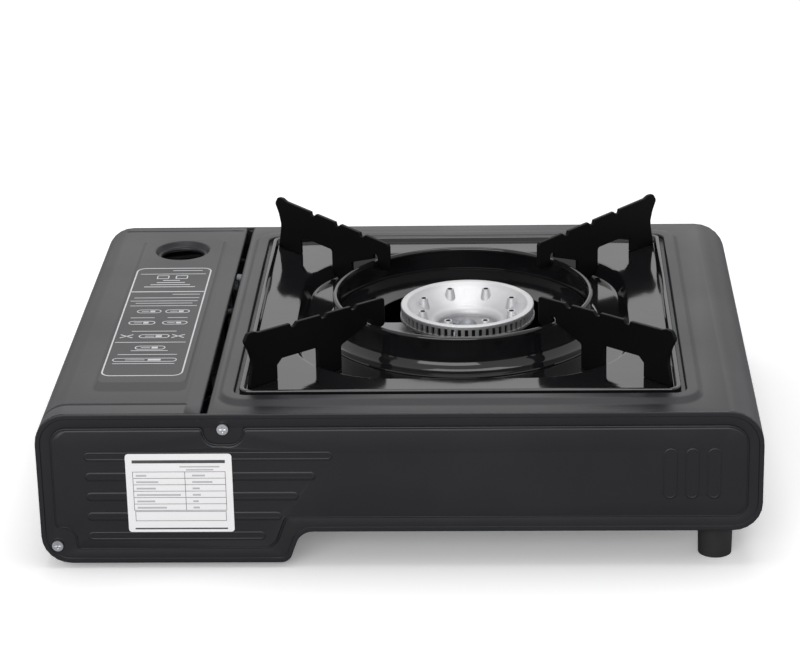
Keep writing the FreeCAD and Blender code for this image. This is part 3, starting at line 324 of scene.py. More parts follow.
def pull(bm, faces, vec):
    """Gives flat faces a thickness by pulling them along a vector."""
    pulled = bmesh.ops.extrude_face_region(bm, geom=faces)["geom"]
    bmesh.ops.translate(bm, vec=vec, verts=verts_of(pulled))


def round_corners(bm, verts, reach, segments):
    """Bevels corner points of one face and returns the face."""
    cut = bmesh.ops.bevel(bm, geom=verts, offset=reach, offset_type="OFFSET", segments=segments,
                          profile=0.5, affect="VERTICES", material=-1, clamp_overlap=False)
    return cut["verts"][0].link_faces[0]


def rounded_loop(bm, middle, size, radius, height, segments=12):
    """A rounded rectangle lying flat. Returns its edges, with no face."""
    place = at(*middle, height) @ Matrix.Diagonal((*size, 1, 1))
    made = bmesh.ops.create_grid(bm, x_segments=1, y_segments=1, size=0.5, matrix=place)
    face = round_corners(bm, made["verts"], radius, segments)
    edges = list(face.edges)
    bmesh.ops.delete(bm, geom=[face], context="FACES_ONLY")
    return edges


def round_loop(bm, middle, radius, height, segments):
    """A circle lying flat, as edges with no face."""
    place = at(*middle, height) @ turned(225, "Z")
    made = bmesh.ops.create_circle(bm, cap_ends=False, radius=radius, segments=segments, matrix=place)
    return list({edge for vert in made["verts"] for edge in vert.link_edges})


def bridge(bm, first, second):
    return bmesh.ops.bridge_loops(bm, edges=first + second)["faces"]


def bridge_all(bm, loops):
    for first, second in zip(loops[:-1], loops[1:]):
        bridge(bm, first, second)


def round_creases(bm, edges, radius, segments=3):
    edges = [edge for edge in edges if edge.is_valid]
    bmesh.ops.bevel(bm, geom=edges, offset=radius, offset_type="OFFSET", segments=segments,
                    profile=0.5, affect="EDGES", material=-1, clamp_overlap=True)


def face_from(bm, corners, place):
    """A flat face from corners (a, b, radius), each corner rounded with its own radius."""
    verts = [bm.verts.new(place(corner[0], corner[1])) for corner in corners]
    face = bm.faces.new(verts)
    count = len(corners)
    reaches = []
    for i in range(count):
        before = (verts[i - 1].co - verts[i].co).normalized()
        after = (verts[(i + 1) % count].co - verts[i].co).normalized()
        half = before.angle(after) / 2
        radius = corners[i][2] if len(corners[i]) > 2 else 0
        reaches.append(radius / math.tan(half) if radius else 0)
    for vert, reach in zip(verts, reaches):
        if reach > 0:
            face = round_corners(bm, [vert], reach, 6)
    return face


def spun(bm, profile, middle, steps=96):
    """Turns an open or closed line of (radius, height) points about a vertical axis."""
    verts = [bm.verts.new((middle[0] + radius, middle[1], height)) for radius, height in profile]
    edges = [bm.edges.new(pair) for pair in zip(verts[:-1], verts[1:])]
    bmesh.ops.spin(bm, geom=verts + edges, cent=(middle[0], middle[1], 0), axis=(0, 0, 1),
                   angle=math.tau, steps=steps, use_merge=True, use_duplicate=False)


def arc(centre, radius, start, end, count):
    """Points of an arc in a profile, angles in degrees."""
    spots = []
    for i in range(count + 1):
        angle = math.radians(start + (end - start) * i / count)
        spots.append((centre[0] + radius * math.cos(angle), centre[1] + radius * math.sin(angle)))
    return spots


def settle(bm, merge=0.002):
    """Joins doubles and turns all faces outwards."""
    bmesh.ops.remove_doubles(bm, verts=bm.verts, dist=merge)
    bmesh.ops.recalc_face_normals(bm, faces=bm.faces)


def piece(bm, name, body, finish, replaces=(), wall=0, soften=0, sharp=35):
    """Puts a finished bmesh, in case millimetres, into the frame as one named piece."""
    bmesh.ops.scale(bm, vec=(0.001, 0.001, 0.001), verts=bm.verts)
    bmesh.ops.translate(bm, vec=(0, CASE_SHIFT / 1000, 0), verts=bm.verts)
    for face in bm.faces:
        face.smooth = True
    mesh = bpy.data.meshes.new(name)
    bm.to_mesh(mesh)
    bm.free()
    mesh.set_sharp_from_angle(angle=math.radians(sharp))
    mesh.materials.append(finish)
    made = bpy.data.objects.new(name, mesh)
    bpy.context.scene.collection.objects.link(made)
    if wall:
        thick = made.modifiers.new("wall", "SOLIDIFY")
        thick.thickness = wall / 1000
        thick.offset = -1
        thick.use_even_offset = True
    if soften:
        bevel = made.modifiers.new("soften", "BEVEL")
        bevel.width = soften / 1000
        bevel.segments = 2
        bevel.limit_method = "ANGLE"
        bevel.angle_limit = math.radians(sharp)
        bevel.harden_normals = True
    if wall or soften:
        made.modifiers.new("even_light", "WEIGHTED_NORMAL").keep_sharp = True
    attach(made, body)
    if replaces:
        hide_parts(*replaces)
    print(name, len(mesh.polygons), "faces")
    return made


# %% [markdown]
# ## The casing's sizes
# These repeat the main sizes of the CAD model, so that every new skin lies exactly on the solid
# it stands for.

# %% The casing's sizes
HALF_WIDTH = 172.5
HALF_DEPTH = 134.0
PANEL_INNER = 132.2
PANEL_OUTER = 133.2
DECK_Z = 80.4
SHEET = 1.0
PAN_X = -29.0
FRAME_SIZE = (230.9, 239.4)
FRAME_RISE = 1.5
FRAME_APRON = 4.0
LEDGE_Z = 79.5
PAN_FLOOR_Z = 80.3
DIP_FLOOR_Z = 73.8
print("casing", 2 * HALF_WIDTH, "by", 2 * HALF_DEPTH, "mm")

# %% [markdown]
# ## The top of the casing
# One sheet runs up the burner side, over a 17 mm bend, along the deck and down a small flange at
# the lid. The deck carries a low raised frame round the well that the pan drops into. A wire in
# the shape of the section, pulled along the depth, makes the sheet; the deck between it and the
# frame is filled, and the frame's steps are bridged loops whose creases are bevelled.

# %% The top of the casing
def section_skin(bm, points, stops):
    """Pulls an open line of (x, z) points along Y through the given stops."""
    verts = [bm.verts.new((x, stops[0], z)) for x, z in points]
    edges = [bm.edges.new(pair) for pair in zip(verts[:-1], verts[1:])]
    for start, end in zip(stops[:-1], stops[1:]):
        pulled = bmesh.ops.extrude_edge_only(bm, edges=edges)["geom"]
        edges = [item for item in pulled if isinstance(item, bmesh.types.BMEdge)]
        bmesh.ops.translate(bm, vec=(0, end - start, 0), verts=verts_of(pulled))


def open_flat(bm, x0, x1, y0, y1, z):
    """Removes the flat face between these lines and returns its border."""
    found = [f for f in bm.faces if abs(f.normal.z) > 0.99
             and abs(f.calc_center_median().z - z) < 0.05
             and x0 < f.calc_center_median().x < x1 and y0 < f.calc_center_median().y < y1]
    border = edges_of(found)
    bmesh.ops.delete(bm, geom=found, context="FACES_ONLY")
    return border


def fill_between(bm, outer, inner):
    return bmesh.ops.triangle_fill(bm, edges=outer + inner, use_beauty=True)


def casing_top():
    bm = bmesh.new()
    left = -HALF_WIDTH
    line = [(left, 34.0), (left, DECK_Z - 17)]
    line += arc((left + 17, DECK_Z - 17), 17, 180, 90, 14)[1:]
    line += [(88.6, DECK_Z)]
    line += arc((88.6, DECK_Z - 1.8), 1.8, 90, 0, 5)[1:]
    line += [(90.4, DECK_Z - 8)]
    section_skin(bm, line, (-PANEL_INNER, PANEL_INNER))
    bm.normal_update()
    border = open_flat(bm, left + 17, 88.6, -200, 200, DECK_Z)
    steps = (
        (0, 13.2, DECK_Z), (1.5, 11.7, DECK_Z + FRAME_RISE), (7.2, 6.0, DECK_Z + FRAME_RISE),
        (7.2, 6.0, LEDGE_Z), (19.2, 5.0, LEDGE_Z - 0.05),
    )
    loops = []
    for inset, radius, height in steps:
        size = (FRAME_SIZE[0] - 2 * inset, FRAME_SIZE[1] - 2 * inset)
        if not loops:
            size = (FRAME_SIZE[0], FRAME_SIZE[1] + 2 * FRAME_APRON)
        loops.append(rounded_loop(bm, (PAN_X, 0), size, radius, height))
    fill_between(bm, border, loops[0])
    bridge_all(bm, loops)
    for loop, radius in zip(loops[:4], (0.9, 0.9, 0.8, 0.7)):
        round_creases(bm, loop, radius)
    settle(bm)
    return piece(bm, "casing_top", BODY_OF_CASE, CASE_PAINT, ("top_shell",), wall=SHEET)


casing_top()

# %% [markdown]
# ## End panels
# Both ends are closed by a pressed plate: a thin rim, a step, and a raised field that bends round
# each screw so that the screw head sits low, with a fine groove at the foot of its wall. The back
# field also has five long ribs and three short ones. Field and ribs are flat faces whose corners
# are bevelled; an inset with a depth makes each sloping wall, and one fill joins them.

# %% End panels
SCREWS = ((82.7, 73.0), (164.8, 12.4))
TRAY_Z = 3.0
BASE_Z = 19.2
CASE_CORNERS = (
    (-HALF_WIDTH, DECK_Z, 17), (HALF_WIDTH, DECK_Z, 15), (HALF_WIDTH, TRAY_Z, 14),
    (53.5, TRAY_Z, 5), (47.5, BASE_Z, 8), (-HALF_WIDTH, BASE_Z, 14),
)


def sunk(bm, corners, place, outward, steps):
    """A flat shape: its border stays, and its inside follows (inset, depth) steps. Returns both."""
    face = face_from(bm, corners, place)
    face.normal_update()
    if face.normal.dot(Vector(outward)) < 0:
        face.normal_flip()
    border = list(face.edges)
    for inset, depth in steps:
        bmesh.ops.inset_region(bm, faces=[face], thickness=inset, depth=depth, use_even_offset=True,
                               use_boundary=True)
    return border, face


def opened(bm, face):
    """Removes a face and returns its border."""
    border = list(face.edges)
    bmesh.ops.delete(bm, geom=[face], context="FACES_ONLY")
    return border


def oblong(middle, width, height):
    a = width / 2
    b = height / 2
    radius = min(a, b) * 0.98
    return [(middle[0] + x, middle[1] + z, radius) for x, z in ((-a, -b), (a, -b), (a, b), (-a, b))]


def field_corners(inset):
    """The raised field, bent round the two screws."""
    top = DECK_Z - inset
    right = HALF_WIDTH - inset
    x, z = SCREWS[0]
    far_x, far_z = SCREWS[1]
    return [
        (-right, top, 17 - inset), (x - 9.2, top, 2.0), (x - 9.2, z - 8.0, 6.2),
        (x + 9.2, z - 8.0, 6.2), (x + 9.2, top, 2.0), (right, top, 15 - inset),
        (right, far_z + 9.0, 2.2), (far_x - 9.0, far_z + 9.0, 6.4),
        (far_x - 9.0, TRAY_Z + inset, 2.2), (53.5 + inset * 0.9, TRAY_Z + inset, 5 + inset * 0.5),
        (47.5 + inset * 0.9, BASE_Z + inset, 2.0), (-right, BASE_Z + inset, 14 - inset),
    ]


def end_panel(name, side, node, ribs, openings):
    bm = bmesh.new()
    outward = (0, side, 0)
    rim = ((0.5, 0.0), (1.6, 0.0), (0.4, -0.5), (2.2, 0.0))
    border, face = sunk(bm, CASE_CORNERS, lambda x, z: (x, side * PANEL_OUTER, z), outward, rim)
    level = face.calc_center_median().y
    plate_hole = opened(bm, face)
    rise = ((0.3, -0.45), (0.35, 0.8), (0.9, HALF_DEPTH - abs(level) - 0.35))
    foot, field = sunk(bm, field_corners(7.0), lambda x, z: (x, level, z), outward, rise)
    fill_between(bm, plate_hole, foot)
    height = field.calc_center_median().y
    holes = opened(bm, field)

    def on_field(x, z):
        return (x, height, z)

    for middle, width, tall in ribs:
        holes += sunk(bm, oblong(middle, width, tall), on_field, outward, ((0.9, -0.4),))[0]
    for corners in openings:
        holes += opened(bm, sunk(bm, corners, on_field, outward, ())[1])
    bmesh.ops.triangle_fill(bm, edges=holes, use_beauty=True)
    settle(bm)
    face_out(bm, outward)
    return piece(bm, name, BODY_OF_CASE, CASE_PAINT, (node,), wall=SHEET, sharp=50)


def face_out(bm, direction):
    """Flips an open skin whose largest face looks the wrong way."""
    largest = max(bm.faces, key=lambda face: face.calc_area())
    if largest.normal.dot(Vector(direction)) < 0:
        bmesh.ops.reverse_faces(bm, faces=bm.faces)


BACK_RIBS = [((90.3 + 4.15 * i, 59.0 - 10.4 * i), 118.2 - 8.3 * i, 4.2) for i in range(5)]
BACK_RIBS += [((-128.6 - 10.3 * i, 49.0), 6.2, 26.0) for i in range(3)]
end_panel("panel_back", 1, "back_panel", BACK_RIBS, ())

CONTROL = (131.0, 41.3)
LEVER_SLOT = oblong((99.5, 40.0), 5.6, 25.0)
KNOB_HOLE = oblong(CONTROL, 10.0, 10.0)
end_panel("panel_front", -1, "front_panel", (), (KNOB_HOLE, LEVER_SLOT))

# %% [markdown]
# ## The canister lid
# The lid is the same sheet carried on over the canister bay: a flat top, a 15 mm bend and a short
# side wall, with a skirt at each end. A low panel is pressed up in the middle, a narrow groove runs
# across each end, and near the front there is a dished hole for a fingertip. The grooves are one
# line of points of the pulled section, pushed in. The panel and the dish are bridged loops.

# %% The canister lid
LID_END = 131.7
LID_HOLE = (125.6, -93.1)
GROOVES = (-127.0, 120.2)
SKIRT_Z = 66.0


def canister_lid():
    bm = bmesh.new()
    bend = (HALF_WIDTH - 15, DECK_Z - 15)
    line = [(93.2, DECK_Z - 1.8)] + arc((94.4, DECK_Z - 1.2), 1.2, 180, 90, 4)
    line += [(100.3, DECK_Z), (101.4, DECK_Z), (HALF_WIDTH - 15, DECK_Z)]
    line += arc(bend, 15, 90, 0, 14)[1:]
    line += [(HALF_WIDTH, 58.0)]
    far, near = GROOVES
    stops = (-LID_END, far - 1.0, far, far + 1.0, near - 1.2, near, near + 1.2, LID_END)
    section_skin(bm, line, stops)
    bm.normal_update()
    press_groove(bm, near, 101.0, 400.0, bend)
    press_groove(bm, far, 100.0, HALF_WIDTH - 12, bend)
    bm.normal_update()
    middle = open_flat(bm, 101.4, HALF_WIDTH - 15, far + 1.0, near - 1.2, DECK_Z)
    foot = rounded_loop(bm, (125.6, -4.0), (45.6, 217.0), 5.0, DECK_Z, 6)
    brow = rounded_loop(bm, (125.6, -8.0), (42.6, 206.0), 3.5, DECK_Z + 0.9, 6)
    fill_between(bm, middle, foot)
    bridge(bm, foot, brow)
    rim = round_loop(bm, LID_HOLE, 15.2, DECK_Z + 0.9, 64)
    fill_between(bm, brow, rim)
    dish = ((14.6, 0.5), (13.6, -1.6), (12.9, -2.0), (12.0, -2.0), (11.6, -2.5), (11.5, -3.6))
    loops = [rim] + [round_loop(bm, LID_HOLE, radius, DECK_Z + drop, 64) for radius, drop in dish]
    bridge_all(bm, loops)
    for loop, radius in ((foot, 0.7), (brow, 0.7), (loops[0], 0.4)):
        round_creases(bm, loop, radius, 2)
    drop_skirts(bm)
    settle(bm)
    face_out(bm, (0, 0, 1))
    return piece(bm, "lid_sheet", "lid", CASE_PAINT, ("lid",), wall=SHEET)


def press_groove(bm, y, x_from, x_to, bend):
    """Pushes one line of the section in, along the skin's own direction."""
    for vert in bm.verts:
        if abs(vert.co.y - y) > 0.01 or not x_from < vert.co.x < x_to:
            continue
        aside = max(vert.co.x - bend[0], 0)
        above = max(vert.co.z - bend[1], 0)
        inward = Vector((-aside, 0, -above)).normalized()
        vert.co += inward * 0.75


def drop_skirts(bm):
    """Bends each end of the top down into a skirt."""
    for end in (-LID_END, LID_END):
        edges = [e for e in bm.edges if len(e.link_faces) == 1
                 and all(abs(v.co.y - end) < 0.01 and v.co.x > 96 and v.co.z > 67 for v in e.verts)]
        pulled = bmesh.ops.extrude_edge_only(bm, edges=edges)["geom"]
        for vert in verts_of(pulled):
            vert.co.z = SKIRT_Z


canister_lid()


def hinge_ears():
    """Two small ears under the lid's edge that turn on the pins."""
    bm = bmesh.new()
    for end in (-1, 1):
        place = at(94.1, end * 131.2, 77.0) @ turned(90, "X")
        bmesh.ops.create_cone(bm, cap_ends=True, segments=32, radius1=2.9, radius2=2.9, depth=0.9,
                              matrix=place)
    settle(bm)
    return piece(bm, "lid_ears", "lid", CASE_PAINT, soften=0.15)


hinge_ears()

# %% [markdown]
# ## The print on the lid
# White ink on the lid: a rounded frame with a cross line, and inside it only plain rules and
# canister outlines, with no words. Ink is a film, so it is drawn as very thin flat strips.

# %% The print on the lid
INK_Z = DECK_Z + 0.9
INK = 0.04


def ink_strip(bm, x0, x1, y0, y1):
    block(bm, at((x0 + x1) / 2, (y0 + y1) / 2, INK_Z + INK / 2), (x1 - x0, y1 - y0, INK))


def ink_frame(bm, middle, size, radius, line):
    """A rounded outline: two loops bridged, then given the ink's thickness."""
    outer = rounded_loop(bm, middle, size, radius, INK_Z, 6)
    inside = (size[0] - 2 * line, size[1] - 2 * line)
    inner = rounded_loop(bm, middle, inside, radius - line, INK_Z, 6)
    pull(bm, bridge(bm, outer, inner), (0, 0, INK))


PRINT_MIDDLE = (126.6, 11.0)
PRINT_SIZE = (40.2, 152.0)
PRINT_ROWS = (
    ("rule", -61.0, 111.3, 127.3), ("rule", -55.8, 109.2, 144.0), ("rule", -25.2, 109.1, 123.6),
    ("rule", -20.0, 109.0, 143.1), ("rule", -15.5, 109.4, 144.6), ("rule", -12.2, 111.8, 141.4),
    ("rule", -8.4, 109.1, 143.8), ("can", -0.4, 126.6, 139.3), ("can", -0.4, 111.9, 124.6),
    ("rule", 8.7, 129.1, 141.4), ("rule", 8.7, 112.1, 122.4), ("can", 15.8, 127.9, 141.7),
    ("can", 15.8, 111.4, 124.4), ("rule", 27.6, 115.7, 138.4), ("cross", 34.4, 136.4, 144.2),
    ("can", 34.4, 118.5, 134.1), ("cross", 34.4, 110.3, 118.0), ("rule", 42.7, 109.5, 145.1),
    ("can", 50.0, 118.8, 134.2), ("rule", 54.0, 117.2, 135.7), ("rule", 59.1, 112.0, 141.6),
    ("can", 66.2, 111.3, 143.4), ("rule", 71.1, 112.0, 142.8), ("hood", -43.8, 113.0, 140.0),
)


def ink_can(bm, y, x0, x1):
    """A lying canister: body, a ring and a rule inside."""
    middle = (x0 + x1) / 2
    ink_frame(bm, (middle, y), (x1 - x0, 4.8), 2.35, 0.55)
    ink_strip(bm, x0 + (x1 - x0) * 0.25, x0 + (x1 - x0) * 0.45, y - 1.0, y + 1.0)
    ink_strip(bm, middle, x1 - (x1 - x0) * 0.2, y - 0.3, y + 0.3)


def ink_cross(bm, y, x0, x1):
    for turn in (-1, 1):
        place = at((x0 + x1) / 2, y, INK_Z + INK / 2) @ Matrix.Rotation(turn * 0.6, 4, "Z")
        block(bm, place, (x1 - x0, 0.7, INK))


def ink_hood(bm, y, x0, x1):
    """A heat shield over a stove, drawn as a trapezium of three rules with a box below."""
    for step in range(4):
        inset = 3.0 * step
        ink_strip(bm, x0 + inset, x1 - inset, y + 7 - 3.2 * step, y + 7.8 - 3.2 * step)
    for side in (-1, 1):
        middle = (x0 + x1) / 2 + side * 5
        ink_frame(bm, (middle, y - 7.2), (6.5, 5.0), 0.9, 0.55)


def lid_print():
    bm = bmesh.new()
    ink_frame(bm, PRINT_MIDDLE, PRINT_SIZE, 5.0, 0.75)
    ink_strip(bm, PRINT_MIDDLE[0] - 19.8, PRINT_MIDDLE[0] + 19.8, -29.6, -28.6)
    drawn = {"can": ink_can, "cross": ink_cross, "hood": ink_hood}
    for kind, y, x0, x1 in PRINT_ROWS:
        if kind == "rule":
            ink_strip(bm, x0, x1, y - 0.3, y + 0.3)
        else:
            drawn[kind](bm, y, x0, x1)
    settle(bm, 0.0005)
    return piece(bm, "lid_ink", "lid", WHITE_INK)


lid_print()

# %% [markdown]
# ## Drip pan
# The pan is a shallow enamelled tray with a rolled rim. Its middle is pressed down with wide round
# corners, and in the bottom a ring-shaped boss rises inside the wind ring and slopes down to the
# hole that the burner comes through. All of it is loops of the same number of points, bridged.

# %% Drip pan
PAN_SIZE = (211.7, 220.2)


def drip_pan():
    bm = bmesh.new()
    middle = (PAN_X, 0)
    width, depth = PAN_SIZE
    rim = ((0.0, 5.0, 79.6), (0.0, 5.0, 81.9), (0.35, 4.7, 82.55), (1.2, 4.2, 82.8), (2.05, 3.8, 82.5),
           (2.5, 3.5, 81.4), (3.2, 3.2, 80.55), (4.6, 3.0, PAN_FLOOR_Z), (20.0, 52.0, PAN_FLOOR_Z),
           (21.2, 51.4, 80.05), (25.2, 48.2, 74.2), (26.8, 47.0, DIP_FLOOR_Z))
    loops = []
    for inset, radius, height in rim:
        size = (width - 2 * inset, depth - 2 * inset)
        loops.append(rounded_loop(bm, middle, size, radius, height, 15))
    round_part = ((65.2, DIP_FLOOR_Z), (65.2, 78.9), (64.9, 79.6), (64.1, 79.85), (62.5, 79.4),
                  (47.6, 75.4), (47.0, 75.1), (46.8, 74.4))
    for radius, height in round_part:
        loops.append(round_loop(bm, middle, radius, height, 64))
    bridge_all(bm, loops)
    settle(bm)
    face_out(bm, (0, 0, 1))
    return piece(bm, "pan_tray", "pan_support", ENAMEL, ("drip_pan",), wall=0.8, sharp=40)


drip_pan()

# %% [markdown]
# ## Wind ring
# A band with a rolled bead on top and a foot that flares out onto the pan. It is one closed
# outline, turned about the upright axis.

# %% Wind ring
def wind_ring():
    bm = bmesh.new()
    inner = 65.4
    outer = 66.2
    bead = (65.25, 90.75)
    profile = [(inner, DIP_FLOOR_Z), (74.0, DIP_FLOOR_Z), (74.2, 74.2), (73.9, 74.6)]
    profile += arc((71.8, 80.2), 5.6, 270, 180, 8)
    profile += [(outer, 89.2)]
    profile += arc(bead, 1.35, -40, 220, 14)
    profile += [(inner, 89.2), (inner, DIP_FLOOR_Z)]
    spun(bm, profile, (PAN_X, 0), 160)
    settle(bm)
    return piece(bm, "ring_wall", "pan_support", ENAMEL, ("wind_ring",), sharp=50)


wind_ring()

# %% [markdown]
# ## Pot arms
# Four arms are stamped from 2 mm plate. Each has two legs with a window between them, a slot that
# straddles the wind ring, three notches that stop a pan sliding, and a raised tip. One face with
# rounded corners, pulled to its thickness, is the plate; a bevel takes the burr off its edges.

# %% Pot arms
ARM_THICK = 2.0
ARM_NODES = {45: "arm_back_right", 135: "arm_back_left", 225: "arm_front_left", 315: "arm_front_right"}


def arm_outline():
    floor = PAN_FLOOR_Z
    tip = floor + 29.0
    slot_low, slot_high = 63.55, 66.95

    def top(radius):
        return floor + 23.0 + 4.5 * (radius - 55.0) / 81.6

    corners = [(55.0, floor + 8.0, 2.5), (55.0, top(55.0), 1.8)]
    for radius in (75.2, 94.9, 114.6):
        low = radius - 2.3
        high = radius + 2.3
        corners += [(low, top(low), 0.5), (high - 2.6, top(high) - 2.0, 0.4)]
        corners += [(high - 0.6, top(high) - 2.0, 0.4), (high, top(high), 0.4)]
    corners += [
        (136.9, top(136.9), 2.0), (140.0, tip - 0.3, 1.6), (143.6, tip - 0.4, 2.2),
        (146.0, tip - 4.2, 2.0), (143.2, tip - 9.5, 5), (141.6, tip - 15, 5), (141.8, floor + 11, 6),
        (144.0, floor + 0.1), (126.0, floor + 0.1), (126.0, floor + 7.4, 0.5), (122.8, floor + 10.1, 1),
        (100.0, floor + 9.0, 1.5), (100.0, floor - 2), (95.4, DIP_FLOOR_Z + 0.1),
        (84.5, DIP_FLOOR_Z + 0.1), (84.5, floor + 5.8, 1.5), (slot_high, 92.4, 0.3),
        (slot_high, 95.3, 1.5), (slot_low, 95.3, 1.5), (slot_low, floor + 8.0, 0.8),
    ]
    return corners


def pot_arm(angle, node):
    bm = bmesh.new()
    face = face_from(bm, arm_outline(), lambda r, z: (r, -ARM_THICK / 2, z))
    pull(bm, [face], (0, ARM_THICK, 0))
    settle(bm)
    bmesh.ops.transform(bm, matrix=at(PAN_X, 0, 0) @ turned(angle, "Z"), verts=bm.verts)
    return piece(bm, node.replace("arm", "pot_arm"), "pan_support", ARM_PAINT, (node,),
                 soften=0.45, sharp=40)


for angle, node in ARM_NODES.items():
    pot_arm(angle, node)

# %% [markdown]
# ## Burner cap
# The cap is a bright aluminium dish with a flat rim. Eight small jets stand in a ring on its slope. The
# dish is a turned outline; each jet is a cone whose top is inset and pushed down into a bore, and a flat
# dark disc over it is painted shade for the inside of the bore.

# %% Burner cap
BURNER_X = -31.3
JETS = [math.radians(22.5 + i * 45) for i in range(8)]
JET_RADIUS = 24.5


def jet_place(angle, height):
    return at(BURNER_X + JET_RADIUS * math.cos(angle), JET_RADIUS * math.sin(angle), height)


def burner_cap():
    bm = bmesh.new()
    profile = [(34.1, 83.3), (34.1, 84.6)] + arc((33.6, 84.6), 0.5, 0, 90, 4)
    profile += [(31.2, 85.1), (30.7, 84.9), (30.4, 84.5), (28.0, 82.8), (25.0, 80.8), (22.0, 78.9)]
    profile += [(19.2, 77.0)]
    profile += arc((19.4, 72.6), 4.0, 100, 180, 6)
    profile += [(15.4, 71.2), (16.6, 71.2), (17.2, 73.6), (30.6, 82.6), (30.6, 83.3), (34.1, 83.3)]
    spun(bm, profile, (BURNER_X, 0), 128)
    settle(bm)
    for angle in JETS:
        made = bmesh.ops.create_cone(bm, cap_ends=True, segments=24, radius1=3.3, radius2=1.9, depth=6.8,
                                     matrix=jet_place(angle, 80.9))["verts"]
        faces = {face for vert in made for face in vert.link_faces}
        top = max(faces, key=lambda face: face.calc_center_median().z)
        for inset, depth in ((0.35, 0.0), (0.7, -0.35), (0.02, -2.5)):
            bmesh.ops.inset_region(bm, faces=[top], thickness=inset, depth=depth)
    bmesh.ops.recalc_face_normals(bm, faces=bm.faces)
    return piece(bm, "burner_dish", BODY_OF_CASE, ALUMINIUM, ("burner_cap",), sharp=40)


def jet_bore_shade():
    """A dark disc on top of each jet, painted shade for the inside of its bore."""
    bm = bmesh.new()
    for angle in JETS:
        # A flat dark disc stands for the shade inside each bore.
        place = jet_place(angle, 84.32)
        bmesh.ops.create_circle(bm, cap_ends=True, segments=20, radius=1.25, matrix=place)
    return piece(bm, "jet_bore_shade", BODY_OF_CASE, SHADE_PAINT)


burner_cap()
jet_bore_shade()

# %% [markdown]
# ## Flame ring
# The flame comes out between short teeth under the cap. The ring is a dark core, painted shade for the
# gaps between the teeth, with a wreath of small bright blocks round it, on a thin turned foot.

# %% Flame ring
TEETH = 60


def flame_ring():
    # The dark core is painted shade: it fills the slots between the teeth.
    core = bmesh.new()
    profile = [(31.0, 79.2), (33.0, 79.2), (33.0, 83.3), (31.0, 83.3), (31.0, 79.2)]
    spun(core, profile, (BURNER_X, 0), 120)
    settle(core)
    piece(core, "flame_core", BODY_OF_CASE, SHADE_PAINT, ("flame_ring",))
    teeth = bmesh.new()
    for i in range(TEETH):
        turn = Matrix.Rotation(math.tau * (i + 0.5) / TEETH, 4, "Z")
        block(teeth, at(BURNER_X, 0, 81.25) @ turn @ at(33.3, 0, 0), (1.3, 1.8, 4.1))
    foot = [(32.9, 78.6), (33.7, 78.6), (33.7, 79.3), (32.9, 79.3), (32.9, 78.6)]
    spun(teeth, foot, (BURNER_X, 0), 120)
    bmesh.ops.recalc_face_normals(teeth, faces=teeth.faces)
    return piece(teeth, "flame_teeth", BODY_OF_CASE, ALUMINIUM)


flame_ring()

# %% [markdown]
# ## Control knob
# The knob at the front is moulded plastic: a disc with a finely ribbed edge, a bar to grip, and a
# painted line that points at the dial. The ribs are the circle's own points, moved in and out.

# %% Control knob
KNOB_BACK = -135.0


def control_knob():
    bm = bmesh.new()
    axis = Vector((CONTROL[0], KNOB_BACK, CONTROL[1]))
    place = at(*axis) @ turned(90, "X")
    made = bmesh.ops.create_circle(bm, cap_ends=True, radius=20.9, segments=144, matrix=place)
    verts = made["verts"]
    for index, vert in enumerate(verts):
        if index % 4 in (0, 1):
            vert.co = axis + (vert.co - axis) * 0.975
    face = verts[0].link_faces[0]
    face.normal_update()
    if face.normal.y > 0:
        face.normal_flip()
    for inset, depth in ((0.001, 6.6), (0.901, 1.0), (1.401, 0.4), (2.001, -0.5), (0.601, 0.0)):
        bmesh.ops.inset_region(bm, faces=[face], thickness=inset, depth=depth, use_even_offset=False)
    settle(bm)
    grip = block(bm, at(CONTROL[0], -147.6, CONTROL[1]), (38.6, 9.6, 8.4))
    round_creases(bm, {edge for vert in grip for edge in vert.link_edges}, 1.6, 4)
    return piece(bm, "knob_moulding", "knob", PLASTIC, ("knob",), soften=0.2, sharp=50)


def knob_line():
    bm = bmesh.new()
    block(bm, at(CONTROL[0] - 12.5, -152.43, CONTROL[1]), (10.0, 0.06, 1.2))
    return piece(bm, "knob_pointer", "knob", WHITE_INK)


control_knob()
knob_line()

# %% [markdown]
# ## Dial marks on the front
# Round the knob the front panel has a printed scale: a row of ticks over the knob's travel, short
# and thin at the low end. Each tick is a thin strip turned about the knob.

# %% Dial marks
TICKS = 11


def dial_marks():
    bm = bmesh.new()
    for i in range(TICKS):
        share = i / (TICKS - 1)
        length = 1.6 + 2.4 * share
        place = at(CONTROL[0], -HALF_DEPTH, CONTROL[1]) @ turned(100 * share - 180, "Y")
        block(bm, place @ at(23.5 + length / 2, 0, 0), (length, 0.06, 0.7))
    return piece(bm, "dial_marks", BODY_OF_CASE, WHITE_INK)


dial_marks()

# %% [markdown]
# ## The plate on the back
# A glossy white plate is stuck on the back. It is left blank apart from a ruled table, as such
# plates have: a dark bar above, six rows in two columns, and a wide box below.

# %% The plate on the back
LABEL = (104.4, 40.2)
RULE = 0.22


def upright_strip(bm, x0, x1, z0, z1):
    middle = at((x0 + x1) / 2, HALF_DEPTH + 0.16, (z0 + z1) / 2)
    block(bm, middle, (x1 - x0, 0.05, z1 - z0))


def back_plate():
    bm = bmesh.new()
    x, z = LABEL
    a, b = 25.4, 20.4
    corners = [(x + p, z + q, 1.6) for p, q in ((-a, -b), (a, -b), (a, b), (-a, b))]
    face = face_from(bm, corners, lambda p, q: (p, HALF_DEPTH, q))
    pull(bm, [face], (0, 0.14, 0))
    settle(bm)
    return piece(bm, "label_plate", BODY_OF_CASE, PAPER, ("rating_label",), soften=0.04)


